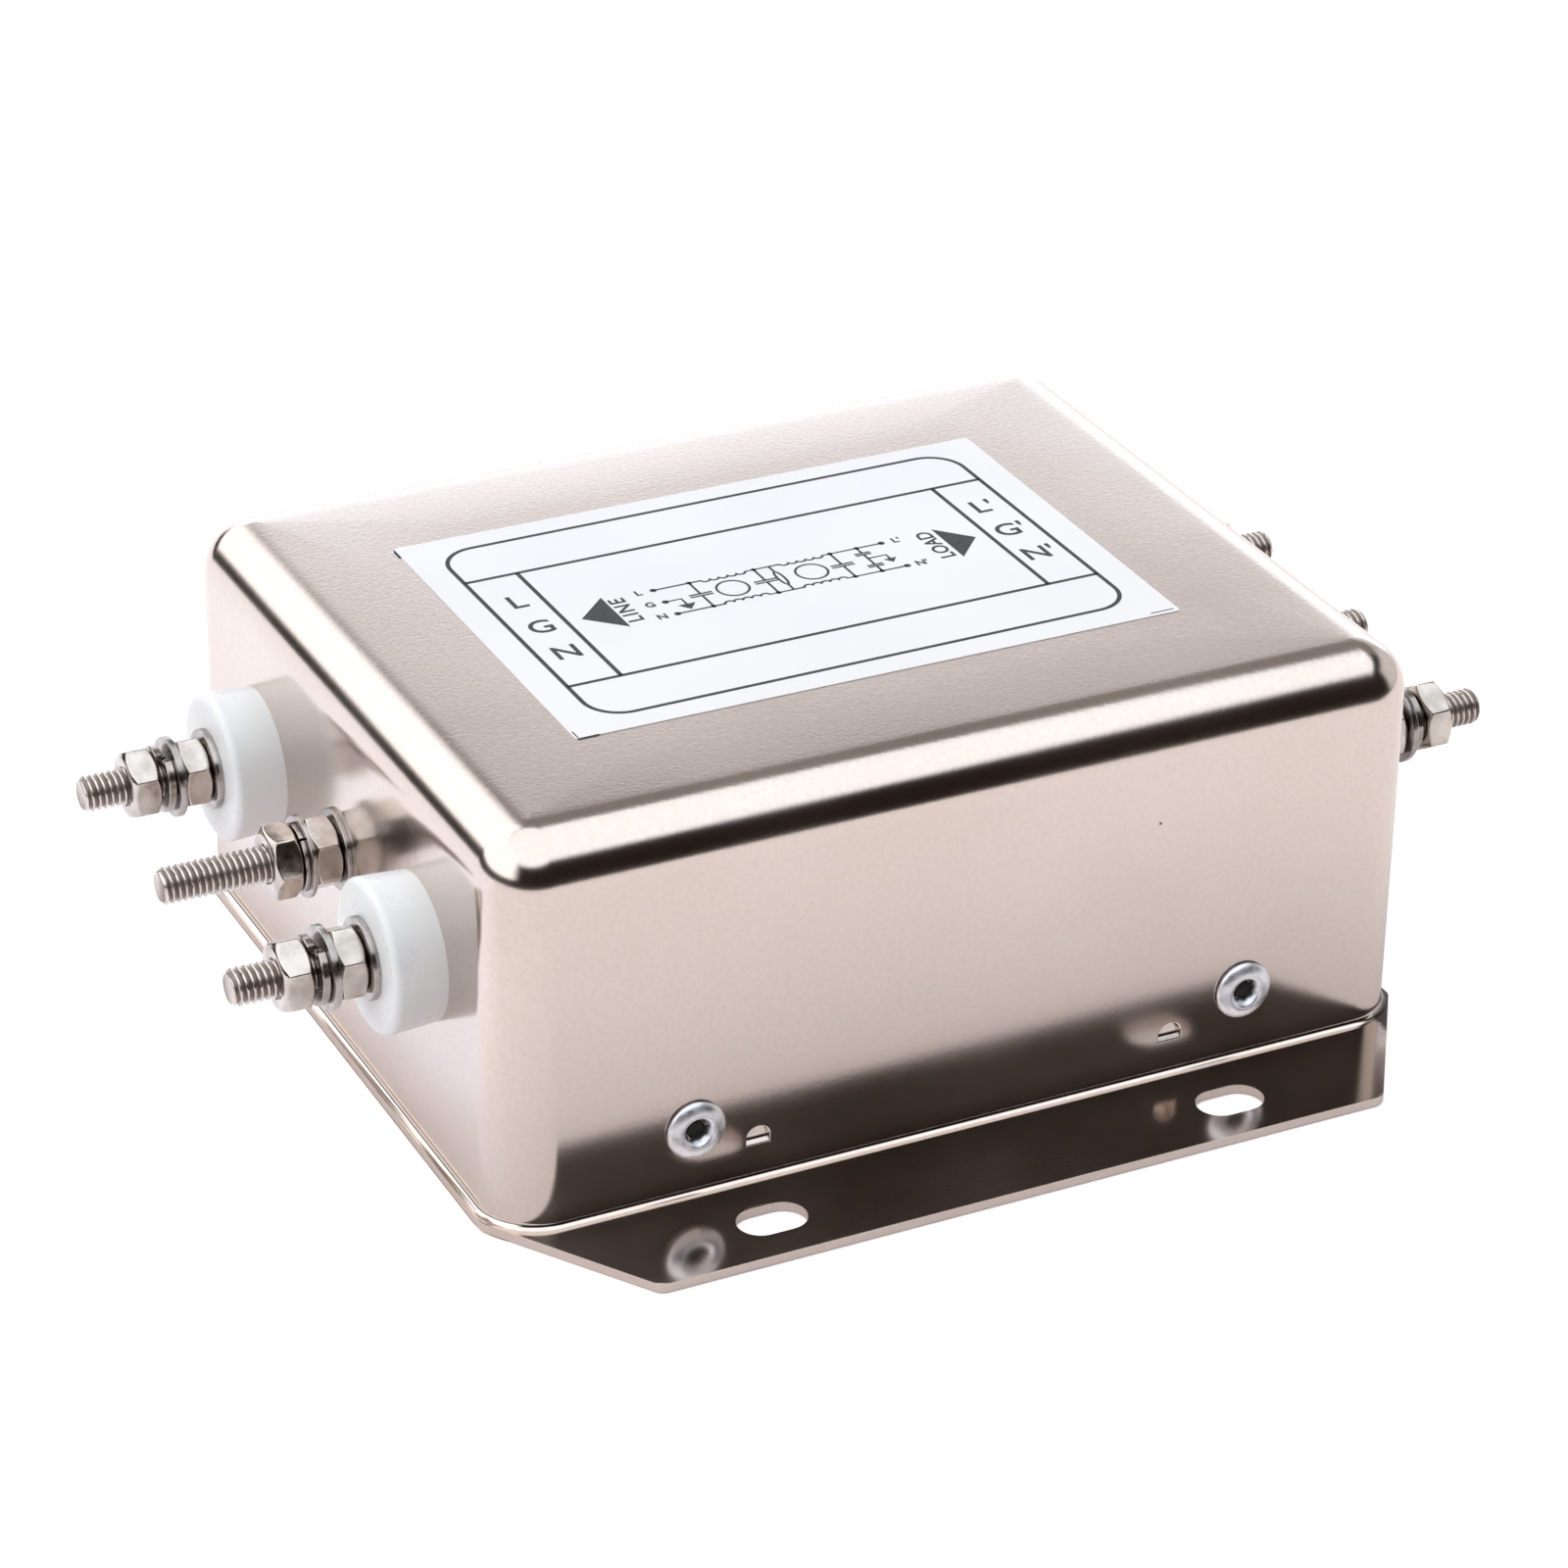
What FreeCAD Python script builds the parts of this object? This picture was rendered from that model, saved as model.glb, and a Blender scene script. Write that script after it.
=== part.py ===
import FreeCAD, Part
import math
import os
import Sketcher
from FreeCAD import Placement, Rotation, Vector

# EMI line filter in a drawn steel can, two stages, with three screw terminals at each end.
# Frame: X runs from the line end (-X) to the load end (+X), Y across the two mounting flanges,
# +Z up. The origin is in the mounting plane, under the middle of the can. Millimetres.

document = FreeCAD.newDocument("line_filter")
sheet = document.addObject("Spreadsheet::Sheet", "sizes")

# Driving dimensions: name, value, meaning
SIZES = [
    ("can_length", 102.8, "can over its two end walls"),
    ("can_width", 83.8, "can over its two long walls"),
    ("can_height", 43.9, "mounting plane to the top of the can"),
    ("sheet", 1.2, "thickness of the drawn steel"),
    ("corner_radius", 6.0, "upright corners of the can, outside"),
    ("top_radius", 5.9, "edge between walls and top, outside"),
    ("bend_radius", 0.75, "bend between walls and flange, outside"),
    ("flange_reach", 13.5, "flange beyond each long wall"),
    ("flange_slant_x", 10.7, "slanted corner of the flange, its outer end inside the end wall"),
    ("flange_slant_y", 3.9, "slanted corner of the flange, its inner end inside the long wall"),
    ("flange_rounding", 1.6, "rounded corners of the flange in plan"),
    ("end_lip", 0.8, "trimmed lip beyond each end wall"),
    ("slot_spacing_x", 52.0, "mounting slots, middle to middle along X"),
    ("slot_beyond", 7.5, "middle of the mounting slots beyond the long wall"),
    ("slot_length", 7.4, "mounting slot over its round ends"),
    ("slot_width", 4.9, "mounting slot across"),
    ("rivet_spacing", 62.4, "rivets along X"),
    ("rivet_height", 9.05, "rivets above the mounting plane"),
    ("rivet_shank", 3.2, "rivet shank diameter"),
    ("rivet_play", 0.1, "rivet hole over rivet shank"),
    ("rivet_head", 6.3, "rivet head diameter"),
    ("rivet_head_height", 1.0, "rivet head proud of the wall"),
    ("rivet_rim", 0.35, "upright rim of the rivet head"),
    ("rivet_crown", 4.6, "diameter of the flat crown of the rivet head"),
    ("rivet_funnel", 3.2, "mouth of the hole in the rivet head"),
    ("rivet_bore", 2.0, "hole in the rivet"),
    ("rivet_blind", 4.6, "upset end of the rivet, diameter"),
    ("rivet_blind_length", 3.0, "upset end of the rivet, length"),
    ("mandrel_sunk", 0.7, "broken end of the mandrel below the wall's outside"),
    ("mandrel_play", 0.1, "rivet bore over mandrel"),
    ("mandrel_head", 3.0, "mandrel head diameter"),
    ("mandrel_head_length", 0.7, "mandrel head length"),
    ("lance_spacing", 46.4, "half-moon stops along X"),
    ("lance_height", 5.0, "cut edge of the half-moon stops above the mounting plane"),
    ("lance_width", 3.0, "half-moon stop across its cut edge"),
    ("lance_depth", 0.8, "half-moon stop pushed in from the outside"),
    ("lance_border", 0.6, "half-moon bulge beyond its dent, inside"),
    ("cover_sheet", 1.0, "thickness of the base cover"),
    ("cover_play", 0.3, "base cover to the inside of the can"),
    ("tab_width", 11.0, "riveted tab of the base cover"),
    ("tab_height", 14.0, "top of the riveted tabs above the mounting plane"),
    ("liner_thickness", 0.4, "insulating liner on the base cover"),
    ("liner_margin", 1.6, "liner to the inside of the can"),
    ("terminal_spacing", 21.65, "outer terminals from the middle one"),
    ("terminal_height", 23.75, "terminals above the mounting plane"),
    ("stud_diameter", 3.9, "terminal stud over its thread"),
    ("stud_reach", 19.9, "line and neutral studs beyond the end wall"),
    ("ground_reach", 19.2, "ground studs beyond the end wall"),
    ("stud_chamfer", 0.45, "chamfer on the ends of the studs"),
    ("stud_spare", 1.2, "stud beyond its last nut inside"),
    ("thread_play", 0.04, "nut bore over stud"),
    ("ground_hole_play", 0.3, "hole for the ground stud over the stud"),
    ("bushing_front", 16.0, "insulating bushing, front diameter"),
    ("bushing_root", 15.4, "insulating bushing, diameter at the wall"),
    ("bushing_length", 5.65, "insulating bushing beyond the end wall"),
    ("bushing_edge", 0.8, "rounded front edge of the bushing"),
    ("bushing_neck", 9.6, "neck of the bushing through the wall"),
    ("bushing_neck_beyond", 1.8, "neck beyond the inside of the wall"),
    ("bushing_play", 0.2, "hole in the wall over the neck"),
    ("bushing_bore_play", 0.2, "bushing bore over the stud"),
    ("collar_diameter", 14.0, "insulating collar inside the wall"),
    ("collar_thickness", 3.0, "insulating collar inside the wall"),
    ("nut_flats", 6.9, "terminal nut across its flats"),
    ("nut_thickness", 3.2, "terminal nut"),
    ("nut_face", 6.3, "round face left by the chamfer of a nut"),
    ("nut_chamfer_height", 0.42, "height of the chamfer at the corners of a nut"),
    ("washer_diameter", 8.6, "flat washer"),
    ("washer_thickness", 0.8, "flat washer"),
    ("washer_play", 0.4, "washer bore over the stud"),
    ("ground_washer_thickness", 0.5, "thin washer of the ground terminals"),
    ("spring_diameter", 7.2, "spring washer over its outside"),
    ("spring_thickness", 0.85, "spring washer section"),
    ("spring_rise", 0.75, "spring washer, rise from one cut end to the other"),
    ("spring_cut", 16.0, "cut in the spring washer, degrees"),
    ("pressed_spring_thickness", 0.5, "flattened spring washer of the ground terminals"),
    ("pressed_spring_gap", 0.4, "cut in the flattened spring washer"),
    ("strap_thickness", 0.8, "terminal strap inside"),
    ("strap_width", 7.0, "terminal strap inside"),
    ("strap_above", 4.0, "strap above the stud's middle"),
    ("strap_pin_width", 2.4, "solder pin of the strap"),
    ("pin_stick_out", 1.2, "solder pins below the board"),
    ("board_end_gap", 1.8, "circuit board to the end walls, inside"),
    ("board_side_gap", 5.5, "circuit board to the long walls, inside"),
    ("board_thickness", 1.6, "circuit board"),
    ("board_play", 0.2, "board holes over wires and pins"),
    ("spacer_height", 3.0, "spacers under the circuit board"),
    ("spacer_diameter", 6.0, "spacers under the circuit board"),
    ("spacer_inset", 8.0, "spacers from the edges of the board"),
    ("choke_offset", 18.7, "chokes from the middle of the can along X"),
    ("core_outer", 31.0, "ring core, outside diameter"),
    ("core_inner", 18.0, "ring core, inside diameter"),
    ("core_height", 17.0, "ring core"),
    ("core_chamfer", 1.0, "broken edges of the ring core"),
    ("wire_diameter", 1.8, "choke wire"),
    ("wire_stripped", 1.6, "choke wire, stripped for soldering"),
    ("wire_play", 0.1, "winding to core"),
    ("winding_angle", 140.0, "part of the ring that one winding takes, degrees"),
    ("winding_turns", 11, "turns of one winding"),
    ("turn_angle", 10.0, "part of the ring that one turn takes, degrees"),
    ("winding_valley", 0.5, "depth of the valleys between turns"),
    ("choke_lift", 0.2, "chokes above the board"),
    ("x_capacitor_length", 26.0, "line to neutral capacitor"),
    ("x_capacitor_width", 10.0, "line to neutral capacitor"),
    ("x_capacitor_height", 19.0, "line to neutral capacitor"),
    ("x_capacitor_pitch", 22.5, "leads of the line to neutral capacitor"),
    ("x_capacitor_inset", 25.0, "outer capacitors from the ends of the board, to their middle"),
    ("component_inset", 8.2, "rows of components from the long edges of the board"),
    ("case_rounding", 0.6, "edges of the capacitor cases"),
    ("y_capacitor_length", 13.0, "line to ground capacitor"),
    ("y_capacitor_width", 5.0, "line to ground capacitor"),
    ("y_capacitor_height", 11.0, "line to ground capacitor"),
    ("y_capacitor_pitch", 10.0, "leads of the line to ground capacitor"),
    ("y_capacitor_inset", 23.0, "capacitors to ground from the ends of the board, to their middle"),
    ("lead_diameter", 0.8, "leads of capacitors and resistor"),
    ("resistor_length", 9.0, "bleed resistor body"),
    ("resistor_diameter", 3.2, "bleed resistor body"),
    ("resistor_pitch", 13.0, "leads of the bleed resistor"),
    ("resistor_gap", 1.0, "bleed resistor to the row of line to neutral capacitors"),
    ("label_length", 67.9, "label on the top along X"),
    ("label_width", 47.0, "label on the top along Y"),
    ("label_thickness", 0.1, "label on the top"),
    ("label_corner", 1.2, "rounded corners of the label"),
    ("label_shift", -1.2, "middle of the label from the middle of the can along X"),
]
value_of = {}
for row, (size_name, size_value, meaning) in enumerate(SIZES, start=1):
    sheet.set("A%d" % row, meaning)
    sheet.set("B%d" % row, str(size_value))
    sheet.setAlias("B%d" % row, size_name)
    value_of[size_name] = size_value
document.recompute()

# Angles at which the nuts and cut washers came to rest, one for each terminal, in degrees
NUT_TURNS = {"line": (58, 58, 58), "ground": (66, 88, 20), "neutral": (56, 58, 30)}
SPRING_CUT_TURN = -35

# Line to neutral capacitors: number, side along X and row across Y
X_CAPACITORS = ((1, -1, -1), (2, 0, 1), (3, 1, -1))

# Coordinates nearer to each other than this count as the same when edges are picked
NEAR = 0.01

# Places that several pieces share, as expressions of the sizes
WALL = "sizes.can_length / 2"
INNER_WALL = "(sizes.can_length / 2 - sizes.sheet)"
LONG_WALL = "sizes.can_width / 2"
INNER_LONG_WALL = "(sizes.can_width / 2 - sizes.sheet)"
BEND_OUTSIDE = "sizes.bend_radius"
BEND_INSIDE = "sizes.bend_radius + sizes.sheet"
COVER_TOP = "sizes.lance_height"
COVER_BOTTOM = "(sizes.lance_height - sizes.cover_sheet)"
LINER_TOP = "(sizes.lance_height + sizes.liner_thickness)"
BOARD_BOTTOM = "(sizes.lance_height + sizes.liner_thickness + sizes.spacer_height)"
BOARD_TOP = "(%s + sizes.board_thickness)" % BOARD_BOTTOM
GRIP = "(sizes.sheet + sizes.cover_sheet)"
SLOT_ROW = "(sizes.can_width / 2 + sizes.slot_beyond)"
HALF_BOARD_LENGTH = "(sizes.can_length / 2 - sizes.sheet - sizes.board_end_gap)"
HALF_BOARD_WIDTH = "(sizes.can_width / 2 - sizes.sheet - sizes.board_side_gap)"
COMPONENT_ROW = "(%s - sizes.component_inset)" % HALF_BOARD_WIDTH
X_CAPACITOR_OFFSET = "(%s - sizes.x_capacitor_inset)" % HALF_BOARD_LENGTH
Y_CAPACITOR_OFFSET = "(%s - sizes.y_capacitor_inset)" % HALF_BOARD_LENGTH
RESISTOR_ROW = "(%s - sizes.x_capacitor_width / 2 - sizes.resistor_gap - sizes.resistor_diameter / 2)" \
    % COMPONENT_ROW
LINE_SEAT = "(sizes.can_length / 2 + sizes.bushing_length)"
STRAP_SEAT = "(%s - sizes.collar_thickness - sizes.washer_thickness)" % INNER_WALL
GROUND_STRAP_SEAT = "(%s - sizes.nut_thickness - sizes.washer_thickness)" % INNER_WALL
CORE_MIDDLE = "(%s + sizes.choke_lift + sizes.wire_play + sizes.wire_diameter + sizes.core_height / 2)" \
    % BOARD_TOP

nodes = []


def keep(piece):
    """Note a sub-part that becomes a node of its own."""
    nodes.append(piece)
    return piece


def new_body(name):
    body = document.addObject("PartDesign::Body", name)
    body.Label = name
    return body


def new_sketch(body, name, role, height=None):
    """Sketch on one of the body's own origin planes, lifted along its normal by an expression."""
    sketch = body.newObject("Sketcher::SketchObject", name)
    origin_plane = [feature for feature in body.Origin.OriginFeatures if feature.Role == role][0]
    sketch.AttachmentSupport = [(origin_plane, "")]
    sketch.MapMode = "FlatFace"
    if height is not None:
        sketch.setExpression("AttachmentOffset.Base.z", height)
    return sketch


def tie(sketch, kind, element, point, expression):
    """Hold one coordinate of a sketch point at an expression of the sizes."""
    position = sketch.getPoint(element, point)
    start = position.x if kind == "DistanceX" else position.y
    index = sketch.addConstraint(Sketcher.Constraint(kind, -1, 1, element, point, start))
    sketch.setExpression("Constraints[%d]" % index, expression)


def tie_point(sketch, element, point, x, y):
    tie(sketch, "DistanceX", element, point, x)
    tie(sketch, "DistanceY", element, point, y)


def join_ring(sketch, ring):
    """Join each element of a closed outline to the next one."""
    for i, element in enumerate(ring):
        sketch.addConstraint(Sketcher.Constraint("Coincident", element, 2, ring[(i + 1) % len(ring)], 1))


def add_outline(sketch, corners):
    """Closed outline through corners, each a pair of expressions."""
    count = len(corners)
    start = [Vector(10 * math.cos(math.tau * i / count), 10 * math.sin(math.tau * i / count), 0)
             for i in range(count)]
    ring = [sketch.addGeometry(Part.LineSegment(start[i], start[(i + 1) % count]), False)
            for i in range(count)]
    join_ring(sketch, ring)
    for element, (along, across) in zip(ring, corners):
        tie_point(sketch, element, 1, along, across)


def add_rectangle(sketch, middle_x, middle_y, length, width):
    corners = [("%s %s (%s) / 2" % (middle_x, sx, length), "%s %s (%s) / 2" % (middle_y, sy, width))
               for sx, sy in (("-", "-"), ("+", "-"), ("+", "+"), ("-", "+"))]
    add_outline(sketch, corners)


def add_rounded_rectangle(sketch, middle_x, length, width, radius):
    """Rectangle with round corners, its middle on the X axis of the sketch."""
    half_x, half_y, start_radius = 20, 15, 5
    ring = []
    centres = []
    for number, (sx, sy) in enumerate(((1, -1), (1, 1), (-1, 1), (-1, -1))):
        centre = Vector(sx * (half_x - start_radius), sy * (half_y - start_radius), 0)
        first_angle = (number - 1) * math.pi / 2
        arc = Part.ArcOfCircle(Part.Circle(centre, Vector(0, 0, 1), start_radius),
                               first_angle, first_angle + math.pi / 2)
        centres.append((arc, sx, sy))
    for number, (arc, sx, sy) in enumerate(centres):
        following = centres[(number + 1) % 4][0]
        ring.append(sketch.addGeometry(arc, False))
        ring.append(sketch.addGeometry(Part.LineSegment(arc.EndPoint, following.StartPoint), False))
    join_ring(sketch, ring)
    for number, (arc, sx, sy) in enumerate(centres):
        line_before = ring[2 * number - 1]
        line_after = ring[2 * number + 1]
        far_x = "%s + %d * (%s) / 2" % (middle_x, sx, length)
        near_x = "%s + %d * ((%s) / 2 - (%s))" % (middle_x, sx, length, radius)
        far_y = "%d * (%s) / 2" % (sy, width)
        near_y = "%d * ((%s) / 2 - (%s))" % (sy, width, radius)
        along_side = number % 2 == 0
        before = (near_x, far_y) if along_side else (far_x, near_y)
        after = (far_x, near_y) if along_side else (near_x, far_y)
        tie_point(sketch, line_before, 2, *before)
        tie_point(sketch, line_after, 1, *after)
        tie(sketch, "DistanceX", ring[2 * number], 3, near_x)


def add_circle(sketch, middle_x, middle_y, diameter):
    index = sketch.addGeometry(Part.Circle(Vector(0, 0, 0), Vector(0, 0, 1), 1.0), False)
    tie(sketch, "DistanceX", index, 3, middle_x)
    tie(sketch, "DistanceY", index, 3, middle_y)
    size = sketch.addConstraint(Sketcher.Constraint("Diameter", index, 2.0))
    sketch.setExpression("Constraints[%d]" % size, diameter)


def add_slot(sketch, side_x, side_y):
    """Mounting slot along X with round ends, in the quarter that the two signs name."""
    half_run = (value_of["slot_length"] - value_of["slot_width"]) / 2
    radius = value_of["slot_width"] / 2
    row = value_of["can_width"] / 2 + value_of["slot_beyond"]
    middle = Vector(side_x * value_of["slot_spacing_x"] / 2, side_y * row, 0)
    right = middle + Vector(half_run, 0, 0)
    left = middle - Vector(half_run, 0, 0)
    rise = Vector(0, radius, 0)
    lower = sketch.addGeometry(Part.LineSegment(left - rise, right - rise), False)
    round_right = sketch.addGeometry(
        Part.ArcOfCircle(Part.Circle(right, Vector(0, 0, 1), radius), -math.pi / 2, math.pi / 2), False)
    upper = sketch.addGeometry(Part.LineSegment(right + rise, left + rise), False)
    round_left = sketch.addGeometry(
        Part.ArcOfCircle(Part.Circle(left, Vector(0, 0, 1), radius), math.pi / 2, 3 * math.pi / 2), False)
    join_ring(sketch, (lower, round_right, upper, round_left))
    run = "(sizes.slot_length - sizes.slot_width) / 2"
    left_x = "%d * sizes.slot_spacing_x / 2 - %s" % (side_x, run)
    right_x = "%d * sizes.slot_spacing_x / 2 + %s" % (side_x, run)
    lower_y = "%d * %s - sizes.slot_width / 2" % (side_y, SLOT_ROW)
    upper_y = "%d * %s + sizes.slot_width / 2" % (side_y, SLOT_ROW)
    tie_point(sketch, lower, 1, left_x, lower_y)
    tie_point(sketch, lower, 2, right_x, lower_y)
    tie_point(sketch, upper, 1, right_x, upper_y)
    tie_point(sketch, upper, 2, left_x, upper_y)
    tie(sketch, "DistanceX", round_right, 3, right_x)
    tie(sketch, "DistanceX", round_left, 3, left_x)


def add_half_moon(sketch, side_x, radius_expression, radius):
    """Half disc that stands on the cut edge of a stop, in a sketch that lies in X and Z."""
    middle = Vector(side_x * value_of["lance_spacing"] / 2, value_of["lance_height"], 0)
    edge = sketch.addGeometry(
        Part.LineSegment(middle - Vector(radius, 0, 0), middle + Vector(radius, 0, 0)), False)
    dome = sketch.addGeometry(
        Part.ArcOfCircle(Part.Circle(middle, Vector(0, 0, 1), radius), 0, math.pi), False)
    join_ring(sketch, (edge, dome))
    middle_x = "%d * sizes.lance_spacing / 2" % side_x
    tie_point(sketch, edge, 1, "%s - (%s)" % (middle_x, radius_expression), "sizes.lance_height")
    tie_point(sketch, edge, 2, "%s + (%s)" % (middle_x, radius_expression), "sizes.lance_height")
    tie(sketch, "DistanceY", dome, 3, "sizes.lance_height")


def add_feature(body, kind, name, sketch=None, **values):
    """PartDesign feature; a text value is an expression of the sizes."""
    feature = body.newObject("PartDesign::" + kind, name)
    if sketch is not None:
        feature.Profile = sketch
    for name_of_value, value in values.items():
        if isinstance(value, str) and name_of_value not in ("Type", "SideType"):
            feature.setExpression(name_of_value, value)
        else:
            setattr(feature, name_of_value, value)
    document.recompute()
    return feature


def cut_through(body, name, sketch):
    """Pocket right through the body on both sides of the sketch."""
    before = body.Shape.Volume
    pocket = add_feature(body, "Pocket", name, sketch, Type="ThroughAll", SideType="Symmetric")
    if body.Shape.Volume >= before:
        raise RuntimeError("%s cuts nothing" % name)
    return pocket


def turn(body, name, corners, kind="Revolution"):
    """Turned form about the body's own Z axis, from corners given as radius and height."""
    sketch = new_sketch(body, name + "_profile", "XZ_Plane")
    add_outline(sketch, corners)
    return add_feature(body, kind, name, sketch, ReferenceAxis=(sketch, ["V_Axis"]), Angle=360.0)


def pick_edges(body, wanted):
    """Names of the body's edges for which wanted(edge) holds."""
    return ["Edge%d" % (i + 1) for i, edge in enumerate(body.Shape.Edges) if wanted(edge)]


def round_edges(body, name, wanted, radius, kind="Fillet"):
    base = body.Tip
    names = pick_edges(body, wanted)
    if not names:
        raise RuntimeError("%s finds no edge" % name)
    feature = body.newObject("PartDesign::" + kind, name)
    feature.Base = (base, names)
    feature.setExpression("Radius" if kind == "Fillet" else "Size", radius)
    document.recompute()
    return feature


def is_upright(edge):
    """Straight edge along Z."""
    box = edge.BoundBox
    return isinstance(edge.Curve, Part.Line) and box.XLength < NEAR and box.YLength < NEAR


def is_level_at(edge, height):
    box = edge.BoundBox
    return abs(box.ZMin - height) < NEAR and abs(box.ZMax - height) < NEAR


def place(piece, x="0", y="0", z="0", rotation=None):
    """Put a piece in the frame of the whole filter."""
    if rotation is not None:
        piece.Placement = Placement(Vector(0, 0, 0), rotation)
    for axis, expression in zip("xyz", (x, y, z)):
        piece.setExpression("Placement.Base." + axis, expression)


def facing_end(side, roll=0.0):
    """Rotation that turns a piece's +Z outwards at the end wall on this side."""
    return Rotation(Vector(0, 1, 0), 90 * side) * Rotation(Vector(0, 0, 1), roll)


def facing_side(side):
    """Rotation that turns a piece's +Z outwards at the long wall on this side."""
    return Rotation(Vector(1, 0, 0), -90 * side)


def group(name, copies):
    """One node of several separate solids: copies lists the pattern piece and its place."""
    links = []
    for number, (pattern, x, y, z, rotation) in enumerate(copies, start=1):
        link = document.addObject("App::Link", "%s_%d" % (name, number))
        link.LinkedObject = pattern
        place(link, x, y, z, rotation)
        links.append(link)
    compound = document.addObject("Part::Compound", name)
    compound.Label = name
    compound.Links = links
    document.recompute()
    return keep(compound)


# Drawn can: one piece of sheet with its bends, flanges, holes and stops
def make_can():
    can = new_body("housing_can")
    height = value_of["can_height"]
    sheet_thickness = value_of["sheet"]
    outline = new_sketch(can, "can_outline", "XY_Plane")
    add_rounded_rectangle(outline, "0", "sizes.can_length", "sizes.can_width", "sizes.corner_radius")
    add_feature(can, "Pad", "can_block", outline, Length="sizes.can_height")
    round_edges(can, "can_top_edge", lambda edge: is_level_at(edge, height), "sizes.top_radius")

    block = can.Tip
    open_bottom = ["Face%d" % (i + 1) for i, face in enumerate(can.Shape.Faces)
                   if abs(face.BoundBox.ZMax) < NEAR]
    wall = can.newObject("PartDesign::Thickness", "can_wall")
    wall.Base = (block, open_bottom)
    wall.Reversed = True
    wall.setExpression("Value", "sizes.sheet")
    document.recompute()

    flange = new_sketch(can, "flange_outline", "XY_Plane")
    lip = "(sizes.can_length / 2 + sizes.end_lip)"
    root = "(sizes.can_width / 2 - sizes.flange_slant_y)"
    edge_end = "(sizes.can_length / 2 - sizes.flange_slant_x)"
    edge_side = "(sizes.can_width / 2 + sizes.flange_reach)"
    add_outline(flange, [
        (lip, "-" + root), (lip, root), (edge_end, edge_side), ("-" + edge_end, edge_side),
        ("-" + lip, root), ("-" + lip, "-" + root), ("-" + edge_end, "-" + edge_side),
        (edge_end, "-" + edge_side)])
    add_rounded_rectangle(flange, "0", "sizes.can_length - 2 * sizes.sheet",
                          "sizes.can_width - 2 * sizes.sheet", "sizes.corner_radius - sizes.sheet")
    add_feature(can, "Pad", "flange_plate", flange, Length="sizes.sheet")

    half_length = value_of["can_length"] / 2
    half_width = value_of["can_width"] / 2

    def reach_of(edge):
        """Farthest reach of an edge from the middle along X and along Y."""
        box = edge.BoundBox
        return max(-box.XMin, box.XMax), max(-box.YMin, box.YMax)

    def flange_corner(edge):
        along, side = reach_of(edge)
        outside = along > half_length - NEAR or side > half_width - NEAR
        return is_upright(edge) and edge.BoundBox.ZMax < sheet_thickness + NEAR and outside

    round_edges(can, "flange_corners", flange_corner, "sizes.flange_rounding")

    def meets_flange(edge):
        along, side = reach_of(edge)
        within = along < half_length + NEAR and side < half_width + NEAR
        return is_level_at(edge, sheet_thickness) and within

    round_edges(can, "flange_bend", meets_flange, BEND_OUTSIDE)

    def hollow_mouth(edge):
        along, side = reach_of(edge)
        within = along < half_length - sheet_thickness + NEAR and side < half_width - sheet_thickness + NEAR
        return is_level_at(edge, 0) and within

    round_edges(can, "flange_bend_inside", hollow_mouth, BEND_INSIDE)

    slots = new_sketch(can, "slot_outlines", "XY_Plane")
    for side_x in (-1, 1):
        for side_y in (-1, 1):
            add_slot(slots, side_x, side_y)
    cut_through(can, "mounting_slots", slots)

    rivet_holes = new_sketch(can, "rivet_hole_outlines", "XZ_Plane")
    for side in ("-", ""):
        add_circle(rivet_holes, side + "sizes.rivet_spacing / 2", "sizes.rivet_height",
                   "sizes.rivet_shank + sizes.rivet_play")
    cut_through(can, "rivet_holes", rivet_holes)

    terminal_holes = new_sketch(can, "terminal_hole_outlines", "YZ_Plane")
    for side in ("-", ""):
        add_circle(terminal_holes, side + "sizes.terminal_spacing", "sizes.terminal_height",
                   "sizes.bushing_neck + sizes.bushing_play")
    add_circle(terminal_holes, "0", "sizes.terminal_height", "sizes.stud_diameter + sizes.ground_hole_play")
    cut_through(can, "terminal_holes", terminal_holes)

    # The stops of the base cover: half-moons cut along their lower edge and pushed inwards
    for side, name in ((1, "right"), (-1, "left")):
        bulge = new_sketch(can, "stop_bulge_outline_" + name, "XZ_Plane",
                           "%d * %s" % (side, INNER_LONG_WALL))
        for side_x in (-1, 1):
            add_half_moon(bulge, side_x, "sizes.lance_width / 2 + sizes.lance_border",
                          value_of["lance_width"] / 2 + value_of["lance_border"])
        add_feature(can, "Pad", "stop_bulge_" + name, bulge, Length="sizes.lance_depth",
                    Reversed=side > 0)
        dent = new_sketch(can, "stop_dent_outline_" + name, "XZ_Plane", "%d * %s" % (side, LONG_WALL))
        for side_x in (-1, 1):
            add_half_moon(dent, side_x, "sizes.lance_width / 2", value_of["lance_width"] / 2)
        before = can.Shape.Volume
        add_feature(can, "Pocket", "stop_dent_" + name, dent, Length="sizes.lance_depth",
                    Reversed=side < 0)
        if can.Shape.Volume >= before:
            raise RuntimeError("the dent of a stop cuts nothing")
    return keep(can)


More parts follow.
